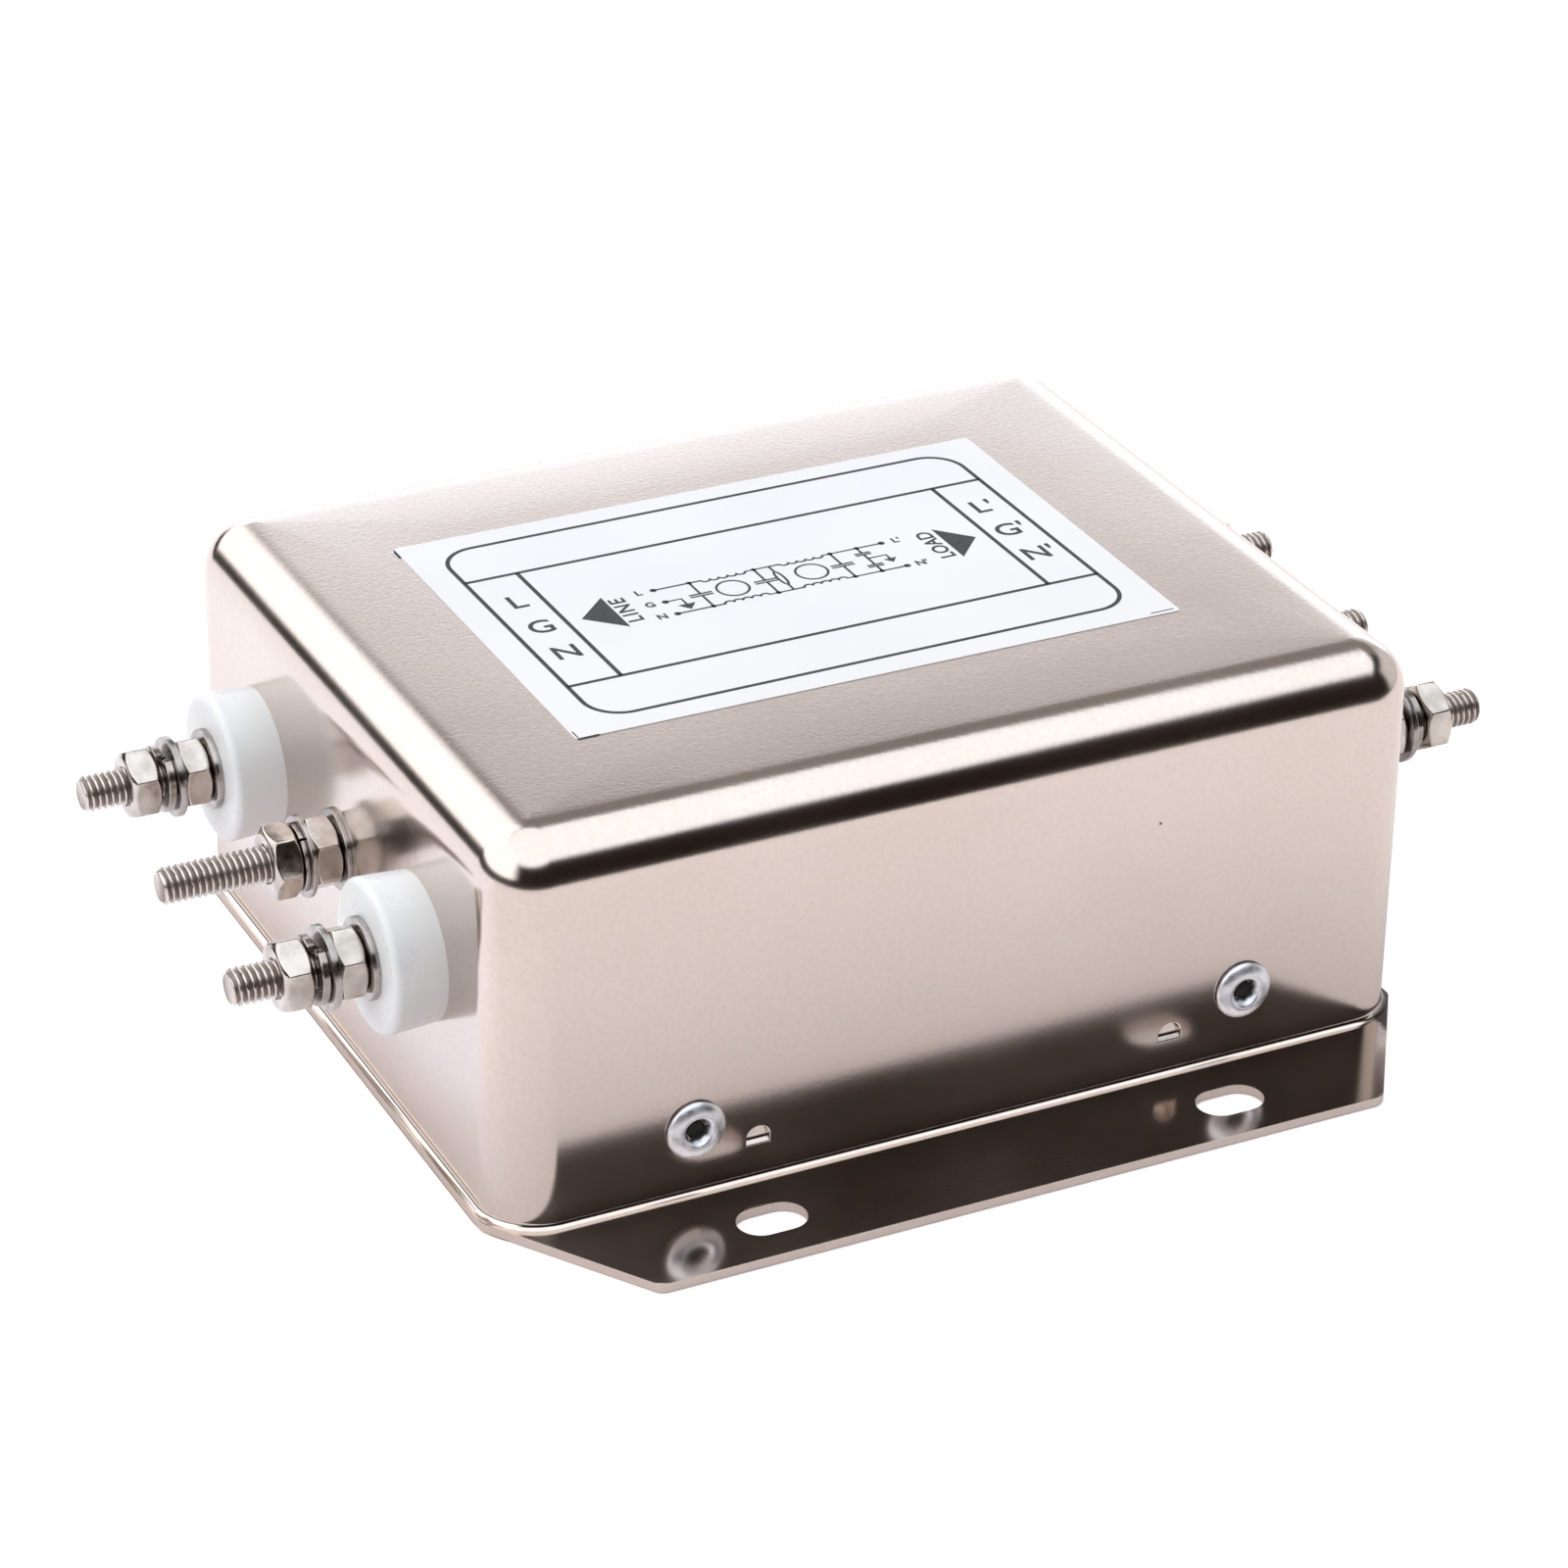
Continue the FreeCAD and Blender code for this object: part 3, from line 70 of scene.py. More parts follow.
BUSHING_LENGTH, BUSHING_FRONT, BUSHING_ROOT, BUSHING_BORE = 5.65, 8.0, 7.7, 2.05
LABEL_LENGTH, LABEL_WIDTH, LABEL_CORNER, LABEL_X = 67.9, 47.0, 0.4, -1.2
ENDS = {"input": -1, "output": 1}

# %% [markdown]
# ## Two small helpers for node trees
# Materials and Geometry Nodes are both trees of nodes. A short class lets each be written down as a
# list of steps. A socket becomes a term that is reckoned with like a number: each sign adds a math node.

# %% A node tree, written step by step
class Term:
    """A socket of a tree that takes part in sums."""

    def __init__(self, nodes, socket):
        self.nodes, self.socket = nodes, socket

    def __add__(self, other):
        return self.nodes.math("ADD", self, other)

    def __sub__(self, other):
        return self.nodes.math("SUBTRACT", self, other)

    def __rsub__(self, other):
        return self.nodes.math("SUBTRACT", other, self)

    def __mul__(self, other):
        return self.nodes.math("MULTIPLY", self, other)

    def __truediv__(self, other):
        return self.nodes.math("DIVIDE", self, other)


class Nodes:
    """Adds nodes to a tree; a value may be a number, a term, a node or another node's socket."""

    def __init__(self, tree):
        self.tree = tree

    def put(self, socket, value):
        if isinstance(value, Term):
            value = value.socket
        if isinstance(value, bpy.types.Node):
            value = next(output for output in value.outputs if output.enabled)
        if isinstance(value, bpy.types.NodeSocket):
            self.tree.links.new(value, socket)
        else:
            socket.default_value = value

    def add(self, kind, values=None, **settings):
        node = self.tree.nodes.new(kind)
        for name, value in settings.items():
            setattr(node, name, value)
        for name, value in (values or {}).items():
            self.put(node.inputs[name], value)
        return node

    def math(self, operation, *values):
        node = self.add("ShaderNodeMath", dict(enumerate(values)), operation=operation)
        return Term(self, node.outputs[0])

    def within(self, value, low, high):
        """1 between two limits, and 0 outside them."""
        return self.math("GREATER_THAN", value, low) * self.math("LESS_THAN", value, high)

    def spread(self, value, low, high, to_low=0.0, to_high=1.0, smooth=False):
        """Map low..high to to_low..to_high, and hold it beyond."""
        node = self.add("ShaderNodeMapRange", dict(enumerate((value, low, high, to_low, to_high))),
                        interpolation_type="SMOOTHSTEP" if smooth else "LINEAR")
        return Term(self, node.outputs[0])

    def apart(self, vector):
        """The X, Y and Z of a vector."""
        return [Term(self, part) for part in self.add("ShaderNodeSeparateXYZ", {"Vector": vector}).outputs]


# %% [markdown]
# ## Finishes
# Every finish is procedural. The tree reads Object coordinates, which are metres on the real piece, so a
# grain of half a millimetre is a noise scale of about two thousand.

# %% The base of every finish
class Finish(Nodes):
    """A material around one Principled shader, with its pattern helpers."""

    def __init__(self, name, colour, metallic=0.0, roughness=0.4):
        self.material = bpy.data.materials.new(name)
        self.material.use_nodes = True
        super().__init__(self.material.node_tree)
        self.shader = self.tree.nodes["Principled BSDF"]
        self.shader.inputs["Metallic"].default_value = metallic
        self.shader.inputs["Roughness"].default_value = roughness
        self.shader.inputs["Base Color"].default_value = (*colour, 1)
        self.place = self.add("ShaderNodeTexCoord").outputs["Object"]

    def noise(self, scale, detail=2.0, stretch=(1, 1, 1)):
        place = self.add("ShaderNodeMapping", {"Vector": self.place, "Scale": stretch})
        noise = self.add("ShaderNodeTexNoise", {"Vector": place, "Scale": scale, "Detail": detail})
        return Term(self, noise.outputs[0])

    def blend(self, share, first, second):
        """Colour between two colours or sockets, by share from 0 to 1."""
        node = self.add("ShaderNodeMix", data_type="RGBA")
        colours = [socket for socket in node.inputs if socket.type == "RGBA"]
        self.put(node.inputs[0], share)
        for socket, colour in zip(colours, (first, second)):
            self.put(socket, (*colour, 1) if isinstance(colour, tuple) else colour)
        return next(socket for socket in node.outputs if socket.type == "RGBA")

    def colour(self, socket):
        self.put(self.shader.inputs["Base Color"], socket)

    def rough(self, socket):
        self.put(self.shader.inputs["Roughness"], socket)

    def bump(self, *layers):
        """Layers of (height, distance in metres), laid on each other."""
        normal = None
        for height, distance in layers:
            node = self.add("ShaderNodeBump", {"Height": height, "Distance": distance, "Strength": 1.0})
            if normal is not None:
                self.put(node.inputs["Normal"], normal)
            normal = node.outputs[0]
        self.put(self.shader.inputs["Normal"], normal)


def dusty(name, colour, deep, metallic, roughness, scale, grain=0.0):
    """A plain finish with soft clouds of colour and gloss, and a fine grain if one is given."""
    finish = Finish(name, colour, metallic)
    cloud = finish.noise(scale, 3.0)
    finish.colour(finish.blend(finish.spread(cloud, 0.35, 0.65), deep, colour))
    finish.rough(finish.spread(finish.noise(scale * 4, 3.0), 0.3, 0.7, roughness * 0.8, roughness * 1.25))
    if grain:
        finish.bump((finish.noise(2500, 2.0), grain))
    return finish.material


# %% [markdown]
# ### Nickel on drawn steel
# The can is satin: plated over the fine orange peel that drawing leaves, which is strongest on the flat
# top. The sides keep a faint upright drag from the die, and the flanges are the smoothest. A slow
# waviness bends the reflections a little, here and there the plating has a pinhole, and the flange is
# darker towards the load end, up to a ragged border.

# %% Satin nickel of the can
NICKEL, NICKEL_DEEP, PINHOLE = (0.71, 0.62, 0.565), (0.67, 0.58, 0.525), (0.20, 0.16, 0.13)
LOAD_END_DARK, LOAD_END_DARK_START, LOAD_END_DARK_FULL = (0.10, 0.08, 0.07), 47.6, 48.4


def satin_nickel():
    finish = Finish("satin_nickel", NICKEL, 1.0)
    x, _, height = finish.apart(finish.place)
    on_top = finish.spread(height, 0.0425, 0.0438, smooth=True)
    on_walls = finish.spread(height, 0.0015, 0.004)
    below_top = on_walls * finish.spread(height, 0.036, 0.040, 1.0, 0.0)
    clouds, peel = finish.noise(55, 4.0), finish.noise(2100, 2.0)
    drag = finish.noise(700, 2.0, (1, 1, 0.06)) * below_top
    cells = finish.add("ShaderNodeTexVoronoi", {"Vector": finish.place, "Scale": 240.0})
    lucky = finish.add("ShaderNodeSeparateColor", {"Color": cells.outputs["Color"]}).outputs[0]
    dot = (finish.math("LESS_THAN", cells.outputs["Distance"], 0.045)
           * finish.math("GREATER_THAN", lucky, 0.90))
    grain = clouds + finish.spread(finish.noise(1600, 3.0), 0.3, 0.7, -0.25, 0.25)
    metal = finish.blend(finish.spread(grain, 0.30, 0.75), NICKEL_DEEP, NICKEL)
    # The flange is darker towards the load end, up to a ragged border.
    ragged_border = x * (1 / MM) + finish.spread(finish.noise(900, 3.0), 0.3, 0.7, -0.6, 0.6)
    darker_end = finish.spread(ragged_border, LOAD_END_DARK_START, LOAD_END_DARK_FULL) * finish.spread(height, 0.0013, 0.0018, 1.0, 0.0)
    finish.colour(finish.blend(darker_end, finish.blend(dot, metal, PINHOLE), LOAD_END_DARK))
    base = finish.spread(clouds, 0.3, 0.7, 0.15, 0.19)
    finish.rough(base * finish.spread(on_walls, 0.0, 1.0, 0.72, 1.0))
    finish.bump((finish.noise(22, 1.0), 0.00012), (drag, 0.000004),
                (peel * (on_walls * 0.35 + on_top * 0.75), 0.000009))
    return finish.material


can_nickel = satin_nickel()
print("made", can_nickel.name)

# %% [markdown]
# ### Small hardware, plastics and paper
# Nuts and washers are a little darker than the can. The roots of the studs' threads are painted dark as
# painted shade: the thread's own recipe writes how high each point stands into an attribute called crest.

# %% Bright nuts, washers and studs
def bright_nickel(name, colour, deep, roughness):
    finish = Finish(name, colour, 1.0)
    finish.colour(finish.blend(finish.spread(finish.noise(400, 4.0), 0.35, 0.6), deep, colour))
    finish.rough(finish.spread(finish.noise(900, 3.0), 0.3, 0.7, roughness * 0.7, roughness * 1.4))
    finish.bump((finish.noise(260, 2.0), 0.00004), (finish.noise(3000, 2.0), 0.000004))
    return finish.material


def thread_steel():
    finish = Finish("thread_steel", (0.66, 0.60, 0.54), 1.0)
    crest = finish.add("ShaderNodeAttribute", attribute_name="crest").outputs["Fac"]
    # Painted shade: the thread is painted dark in its roots and light on its crests, a little unevenly.
    lit_crest = finish.math("MULTIPLY", crest, finish.spread(finish.noise(900, 3.0), 0.2, 0.6, 0.7, 1.0))
    finish.colour(finish.blend(lit_crest, (0.27, 0.22, 0.19), (0.66, 0.60, 0.56)))
    finish.rough(finish.spread(crest, 0.0, 1.0, 0.45, 0.22))
    finish.bump((finish.noise(1800, 2.0), 0.000012))
    return finish.material


nut_nickel = bright_nickel("nut_nickel", (0.62, 0.565, 0.52), (0.44, 0.39, 0.35), 0.14)
# The flat washers are painted darker than the nuts: painted shade of the gaps between the stacked parts.
washer_nickel = bright_nickel("washer_nickel", (0.47, 0.43, 0.41), (0.32, 0.29, 0.27), 0.22)
spring_nickel = bright_nickel("spring_nickel", (0.46, 0.41, 0.38), (0.30, 0.26, 0.23), 0.2)
stud_steel = thread_steel()


# %% Rivets, bushings, label and ink
def rivet_aluminium():
    finish = Finish("rivet_aluminium", (0.84, 0.84, 0.86), 1.0)
    clouds = finish.noise(1200, 3.0)
    finish.colour(finish.blend(finish.spread(clouds, 0.35, 0.6), (0.72, 0.72, 0.76), (0.90, 0.90, 0.95)))
    finish.rough(finish.spread(clouds, 0.3, 0.7, 0.30, 0.45))
    finish.bump((finish.noise(900, 3.0), 0.00002))
    return finish.material


def bushing_white():
    finish = Finish("bushing_white", (0.86, 0.86, 0.86), 0.0, 0.32)
    shade = finish.spread(finish.noise(160, 3.0), 0.3, 0.7)
    finish.colour(finish.blend(shade, (0.83, 0.835, 0.835), (0.86, 0.86, 0.855)))
    finish.rough(finish.spread(finish.noise(500, 2.0), 0.3, 0.7, 0.26, 0.4))
    return finish.material


rivet_bright = rivet_aluminium()
# The stem's end is painted near-black: painted shade of the rivet's hole.
rivet_stem = dusty("rivet_stem", (0.035, 0.03, 0.028), (0.008, 0.007, 0.007), 0.2, 0.7, 900, 0.00005)
bushing_plastic = bushing_white()
label_film = dusty("label_film", (0.83, 0.81, 0.80), (0.80, 0.78, 0.775), 0.0, 0.38, 60, 0.000004)
label_ink = dusty("label_ink", (0.026, 0.021, 0.028), (0.018, 0.015, 0.020), 0.0, 0.5, 700)

# %% [markdown]
# ### What sits inside the can
# Nobody sees these pieces until the can comes off, but each keeps the finish of its kind: green coated
# ring cores, enamelled copper, yellow and blue capacitor cases, and a laminate board with a faint weave.

# %% Finishes of the inner pieces
def woven_board():
    finish = Finish("board_laminate", (0.46, 0.40, 0.20), 0.0, 0.5)
    threads = [finish.add("ShaderNodeTexWave", {"Vector": finish.place, "Scale": 330.0, "Distortion": 0.6},
                          bands_direction=axis).outputs["Fac"] for axis in "XY"]
    weave = finish.math("MAXIMUM", *threads)
    finish.colour(finish.blend(weave, (0.38, 0.32, 0.14), (0.50, 0.44, 0.23)))
    finish.bump((weave, 0.00002))
    return finish.material


def enamelled_copper():
    finish = Finish("enamelled_copper", (0.72, 0.30, 0.10), 0.85, 0.25)
    finish.colour(finish.blend(finish.noise(300, 3.0), (0.50, 0.17, 0.05), (0.80, 0.38, 0.14)))
    finish.shader.inputs["Coat Weight"].default_value = 0.6
    finish.bump((finish.noise(600, 2.0), 0.00002))
    return finish.material


inner_finishes = {
    "base_cover": dusty("cover_nickel", (0.72, 0.66, 0.60), (0.62, 0.56, 0.50), 1.0, 0.24, 60, 0.000008),
    "insulating_liner": dusty("liner_sheet", (0.10, 0.10, 0.11), (0.07, 0.07, 0.08), 0.0, 0.6, 200, 0.00002),
    "insulating_collars": bushing_plastic,
    "inside_hex_nuts": nut_nickel,
    "inside_washers": washer_nickel,
    "circuit_board": woven_board(),
    "board_spacers": dusty("spacer_nylon", (0.82, 0.81, 0.76), (0.76, 0.75, 0.70), 0.0, 0.45, 400,
                           0.00001),
    "bleed_resistor": dusty("resistor_lacquer", (0.72, 0.60, 0.40), (0.62, 0.50, 0.32), 0.0, 0.35, 500,
                            0.00001),
    "strap": dusty("tinned_strip", (0.78, 0.76, 0.72), (0.62, 0.59, 0.54), 1.0, 0.32, 300, 0.00001),
    "core": dusty("core_coating", (0.06, 0.22, 0.11), (0.04, 0.16, 0.08), 0.0, 0.45, 350, 0.00003),
    "winding": enamelled_copper(),
    "to_neutral": dusty("film_case", (0.78, 0.58, 0.06), (0.70, 0.51, 0.05), 0.0, 0.35, 120, 0.00001),
    "to_ground": dusty("ground_case", (0.06, 0.16, 0.44), (0.05, 0.12, 0.36), 0.0, 0.35, 120, 0.00001),
}
dressed = 0
for node_name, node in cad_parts.items():
    for key, material in inner_finishes.items():
        if key in node_name:
            node.data.materials.clear()
            node.data.materials.append(material)
            dressed += 1
            break
print("dressed", dressed, "inner nodes")

# %% [markdown]
# ## Turning a mesh into a piece
# A finished mesh becomes an object at the origin, rides on the body, and stands for its node. Faces
# have to point outwards, which the signed volume of a closed mesh tells: if it is negative, the mesh is
# inside out.

# %% Helpers for objects and meshes
made_pieces = []


def placed(name, data):
    thing = bpy.data.objects.new(name, data)
    bpy.context.scene.collection.objects.link(thing)
    return thing


def settled(holder):
    """The mesh of an object after its modifiers; the object itself is thrown away."""
    depsgraph = bpy.context.evaluated_depsgraph_get()
    mesh = bpy.data.meshes.new_from_object(holder.evaluated_get(depsgraph))
    bpy.data.objects.remove(holder)
    return mesh


def mesh_of(form, name, outwards=True):
    if outwards:
        bmesh.ops.recalc_face_normals(form, faces=form.faces)
    mesh = bpy.data.meshes.new(name)
    form.to_mesh(mesh)
    form.free()
    return mesh


def loft(form, rings):
    """Faces between each ring and the next, all of as many points."""
    for first, second in zip(rings, rings[1:]):
        for i in range(len(first)):
            j = (i + 1) % len(first)
            form.faces.new((first[i], second[i], second[j], first[j]))


def weighed(mesh, sharp):
    """Smooth shading whose normals follow the largest face at each corner, with sharp edges kept."""
    mesh.shade_smooth()
    mesh.set_sharp_from_angle(angle=math.radians(sharp))
    holder = placed("weighed", mesh)
    weigh = holder.modifiers.new("weigh", "WEIGHTED_NORMAL")
    weigh.keep_sharp, weigh.weight = True, 70
    return settled(holder)


# %% Piece helper
def piece(name, mesh, material, slot, *nodes, sharp=32):
    form = bmesh.new()
    form.from_mesh(mesh)
    if form.calc_volume(signed=True) < 0:
        bmesh.ops.reverse_faces(form, faces=form.faces)
    form.to_mesh(mesh)
    form.free()
    mesh = weighed(mesh, sharp)
    if material is not None:
        mesh.materials.clear()
        mesh.materials.append(material)
    thing = placed(name, mesh)
    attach(thing, "root")
    if nodes:
        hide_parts(*nodes)
    made_pieces.append(thing)
    print("%-28s %6d faces" % (name, len(mesh.polygons)))


# %% [markdown]
# ## The drawn can
# A press draws this can from one flat sheet, so it has no seam: the flat top, a rounded edge, straight
# walls, and a tight bend into the flange. It is built the same way here, as rings that follow the
# outline of the can from the top down and back up along the inside. The flange is a flat sheet with its
# own outline, filled between its edge, the slots and the last ring of the bend.

# %% Outlines in plan
def rounded_rectangle(half_x, half_y, radius, steps=14):
    """Corner arcs of one rectangle, anticlockwise; the straight sides lie between them."""
    points = []
    for quarter, (sx, sy) in enumerate(((1, -1), (1, 1), (-1, 1), (-1, -1))):
        for step in range(steps + 1):
            angle = math.radians(90 * (quarter - 1 + step / steps))
            points.append((sx * (half_x - radius) + radius * math.cos(angle),
                           sy * (half_y - radius) + radius * math.sin(angle)))
    return points


def can_outline(inset):
    """Outline of the can, this far inside its outer walls; negative is outside them."""
    radius = CORNER_RADIUS - inset
    if inset > TOP_RADIUS - 0.001:
        radius = min(0.1 + (inset - TOP_RADIUS) * 1.3, 14)
    return rounded_rectangle(CAN_LENGTH / 2 - inset, CAN_WIDTH / 2 - inset, radius)


def flange_outline(inset, steps=6):
    """Outer edge of the flange sheet with its slanted and rounded corners."""
    lip, root = CAN_LENGTH / 2 + END_LIP, CAN_WIDTH / 2 - FLANGE_SLANT_Y
    edge_x, edge_y = CAN_LENGTH / 2 - FLANGE_SLANT_X, CAN_WIDTH / 2 + FLANGE_REACH
    corners = [Vector(c) for c in ((lip, -root), (lip, root), (edge_x, edge_y), (-edge_x, edge_y),
                                   (-lip, root), (-lip, -root), (-edge_x, -edge_y), (edge_x, -edge_y))]
    points = []
    for number, corner in enumerate(corners):
        before = (corners[number - 1] - corner).normalized()
        after = (corners[(number + 1) % len(corners)] - corner).normalized()
        half_angle = before.angle(after) / 2
        middle = corner + (before + after).normalized() * FLANGE_ROUNDING / math.sin(half_angle)
        start = Vector((-before.y, before.x)) * -1
        sweep = math.pi - 2 * half_angle
        for step in range(steps + 1):
            turn = Matrix.Rotation(-sweep / 2 + sweep * step / steps, 2)
            outward = turn @ (-(before + after).normalized())
            points.append(tuple(middle + outward * (FLANGE_ROUNDING - inset)))
    return points


def slot_outline(middle_x, middle_y, grow, steps=12):
    """Round-ended slot; grow widens it, as the broken edge of a punched hole does."""
    run, radius = (SLOT_LENGTH - SLOT_WIDTH) / 2, SLOT_WIDTH / 2 + grow
    points = []
    for side in (1, -1):
        for step in range(steps + 1):
            angle = math.radians(-90 + 180 * step / steps) + (0 if side > 0 else math.pi)
            points.append((middle_x + side * run + radius * math.cos(angle),
                           middle_y + radius * math.sin(angle)))
    return points


# %% The can as one closed sheet
def arc(radius, start, end, steps):
    """Pairs of cosine and sine times radius, from start to end in degrees."""
    return [(radius * math.cos(math.radians(start + (end - start) * step / steps)),
             radius * math.sin(math.radians(start + (end - start) * step / steps)))
            for step in range(steps + 1)]


CROWN, CROWN_REACH = 0.12, 16.0
top_rows = [(inset, CAN_HEIGHT - CROWN * ((CROWN_REACH - inset) / (CROWN_REACH - TOP_RADIUS)) ** 2)
            for inset in (16.0, 14.0, 12.0, 10.0, 8.2, 6.8)]
edge_rows = [(TOP_RADIUS - side, CAN_HEIGHT - TOP_RADIUS + rise - CROWN * rise / TOP_RADIUS)
             for rise, side in arc(TOP_RADIUS, 0, 90, 14)]
wall_rows = [(0.0, z) for z in (37.4, 30.0, 20.0, 12.0, 3.0)]
bend_rows = [(-BEND_RADIUS + out, SHEET + BEND_RADIUS - down) for out, down in arc(BEND_RADIUS, 0, 90, 8)]
inner_bend_rows = [(-BEND_RADIUS + out, SHEET + BEND_RADIUS - down)
                   for out, down in arc(BEND_RADIUS + SHEET, 90, 0, 8)]
inner_edge_rows = [(TOP_RADIUS - side, CAN_HEIGHT - TOP_RADIUS + rise)
                   for rise, side in arc(TOP_RADIUS - SHEET, 90, 0, 8)]
ROLL = 0.04
sheet_edge = [(ROLL, SHEET), (ROLL * 0.3, SHEET - ROLL * 0.3), (0.0, SHEET - ROLL), (0.0, 0.30),
              (0.05, 0.16), (0.16, 0.05), (0.30, 0.0)]


def drawn_can():
    form = bmesh.new()

    def ring(outline, height):
        return [form.verts.new((x * MM, y * MM, height * MM)) for x, y in outline]

    def loop_edges(loop):
        return [form.edges.get((loop[i], loop[(i + 1) % len(loop)])) for i in range(len(loop))]

    rings = [ring(can_outline(inset), height)
             for inset, height in top_rows + edge_rows + wall_rows + bend_rows]
    form.faces.new(rings[0])
    loft(form, rings)
    inner = [ring(can_outline(inset), height) for inset, height in inner_bend_rows + inner_edge_rows]
    loft(form, inner)
    form.faces.new(list(reversed(inner[-1])))
    rims = [ring(flange_outline(inset), height) for inset, height in sheet_edge]
    loft(form, rims)
    top_loops, bottom_loops = [rings[-1], rims[0]], [inner[0], rims[-1]]
    for side_x in (-1, 1):
        for side_y in (-1, 1):
            rows = [ring(slot_outline(side_x * SLOT_X, side_y * SLOT_Y, inset), height)
                    for inset, height in sheet_edge]
            for first, second in zip(rows, rows[1:]):
                loft(form, (second, first))
            top_loops.append(rows[0])
            bottom_loops.append(rows[-1])
    for loops, upwards in ((top_loops, True), (bottom_loops, False)):
        edges = [edge for loop in loops for edge in loop_edges(loop)]
        made = bmesh.ops.triangle_fill(form, use_beauty=True, edges=edges)["geom"]
        for face in made:
            if isinstance(face, bmesh.types.BMFace) and (face.normal.z > 0) != upwards:
                face.normal_flip()
    return mesh_of(form, "drawn_can")


# Sections of a stop: depth below the wall, half width, height of the tongue, and how far the back leans
STOP_ROWS = ((-0.3, 1.46, -0.14, 0), (0.0, 1.42, -0.10, 0), (0.12, 1.26, 0.05, 0), (0.4, 1.22, 0.34, 0),
             (0.62, 1.20, 0.58, 0.20))


def stop_cutter(side_x, side_y):
    """What is taken out for one stop: an arched window over a tongue that slopes inwards from its foot."""
    form = bmesh.new()
    rings = []
    for depth, half, floor, lean in STOP_ROWS:
        outline = [(half * math.cos(math.radians(a)), 0.85 + 0.9 * half * math.sin(math.radians(a)))
                   for a in range(0, 181, 12)] + [(-half, floor), (half, floor)]
        rings.append([form.verts.new(((STOP_X[side_x] + x) * MM,
                                      side_y * (CAN_WIDTH / 2 - depth - lean * max(z - floor, 0)) * MM,
                                      (STOP_Z + z) * MM)) for x, z in outline])
    loft(form, rings)
    form.faces.new(rings[0])
    form.faces.new(rings[-1])
    return mesh_of(form, "stop_cutter")


# %% Press the four stops into the can
def cut_with(mesh, cutters):
    """The mesh with each cutter taken out of it, by Boolean modifiers that are then gone."""
    body = placed("cut_body", mesh)
    helpers = [placed("cutter", cutter) for cutter in cutters]
    for helper in helpers:
        modifier = body.modifiers.new("cut", "BOOLEAN")
        modifier.object, modifier.operation, modifier.solver = helper, "DIFFERENCE", "EXACT"
    result = settled(body)
    for helper in helpers:
        bpy.data.objects.remove(helper)
    return result


can_mesh = cut_with(drawn_can(), [stop_cutter(sx, sy) for sx in (-1, 1) for sy in (-1, 1)])
piece("drawn_can", can_mesh, can_nickel, "can_steel", "housing_can", sharp=40)

# %% [markdown]
# ## Recipes in Geometry Nodes
# Nuts, washers, rivets and bushings are all turned or pressed round an axis, and they repeat. One recipe
# bends a flat grid round the axis: its columns become angles, and its rows follow a profile of radius
# and height. A second step puts a copy at each place, turned to face outwards. The places are the
# vertices of a small mesh, whose attributes turn and stretch hold the rotation and the scale of each.

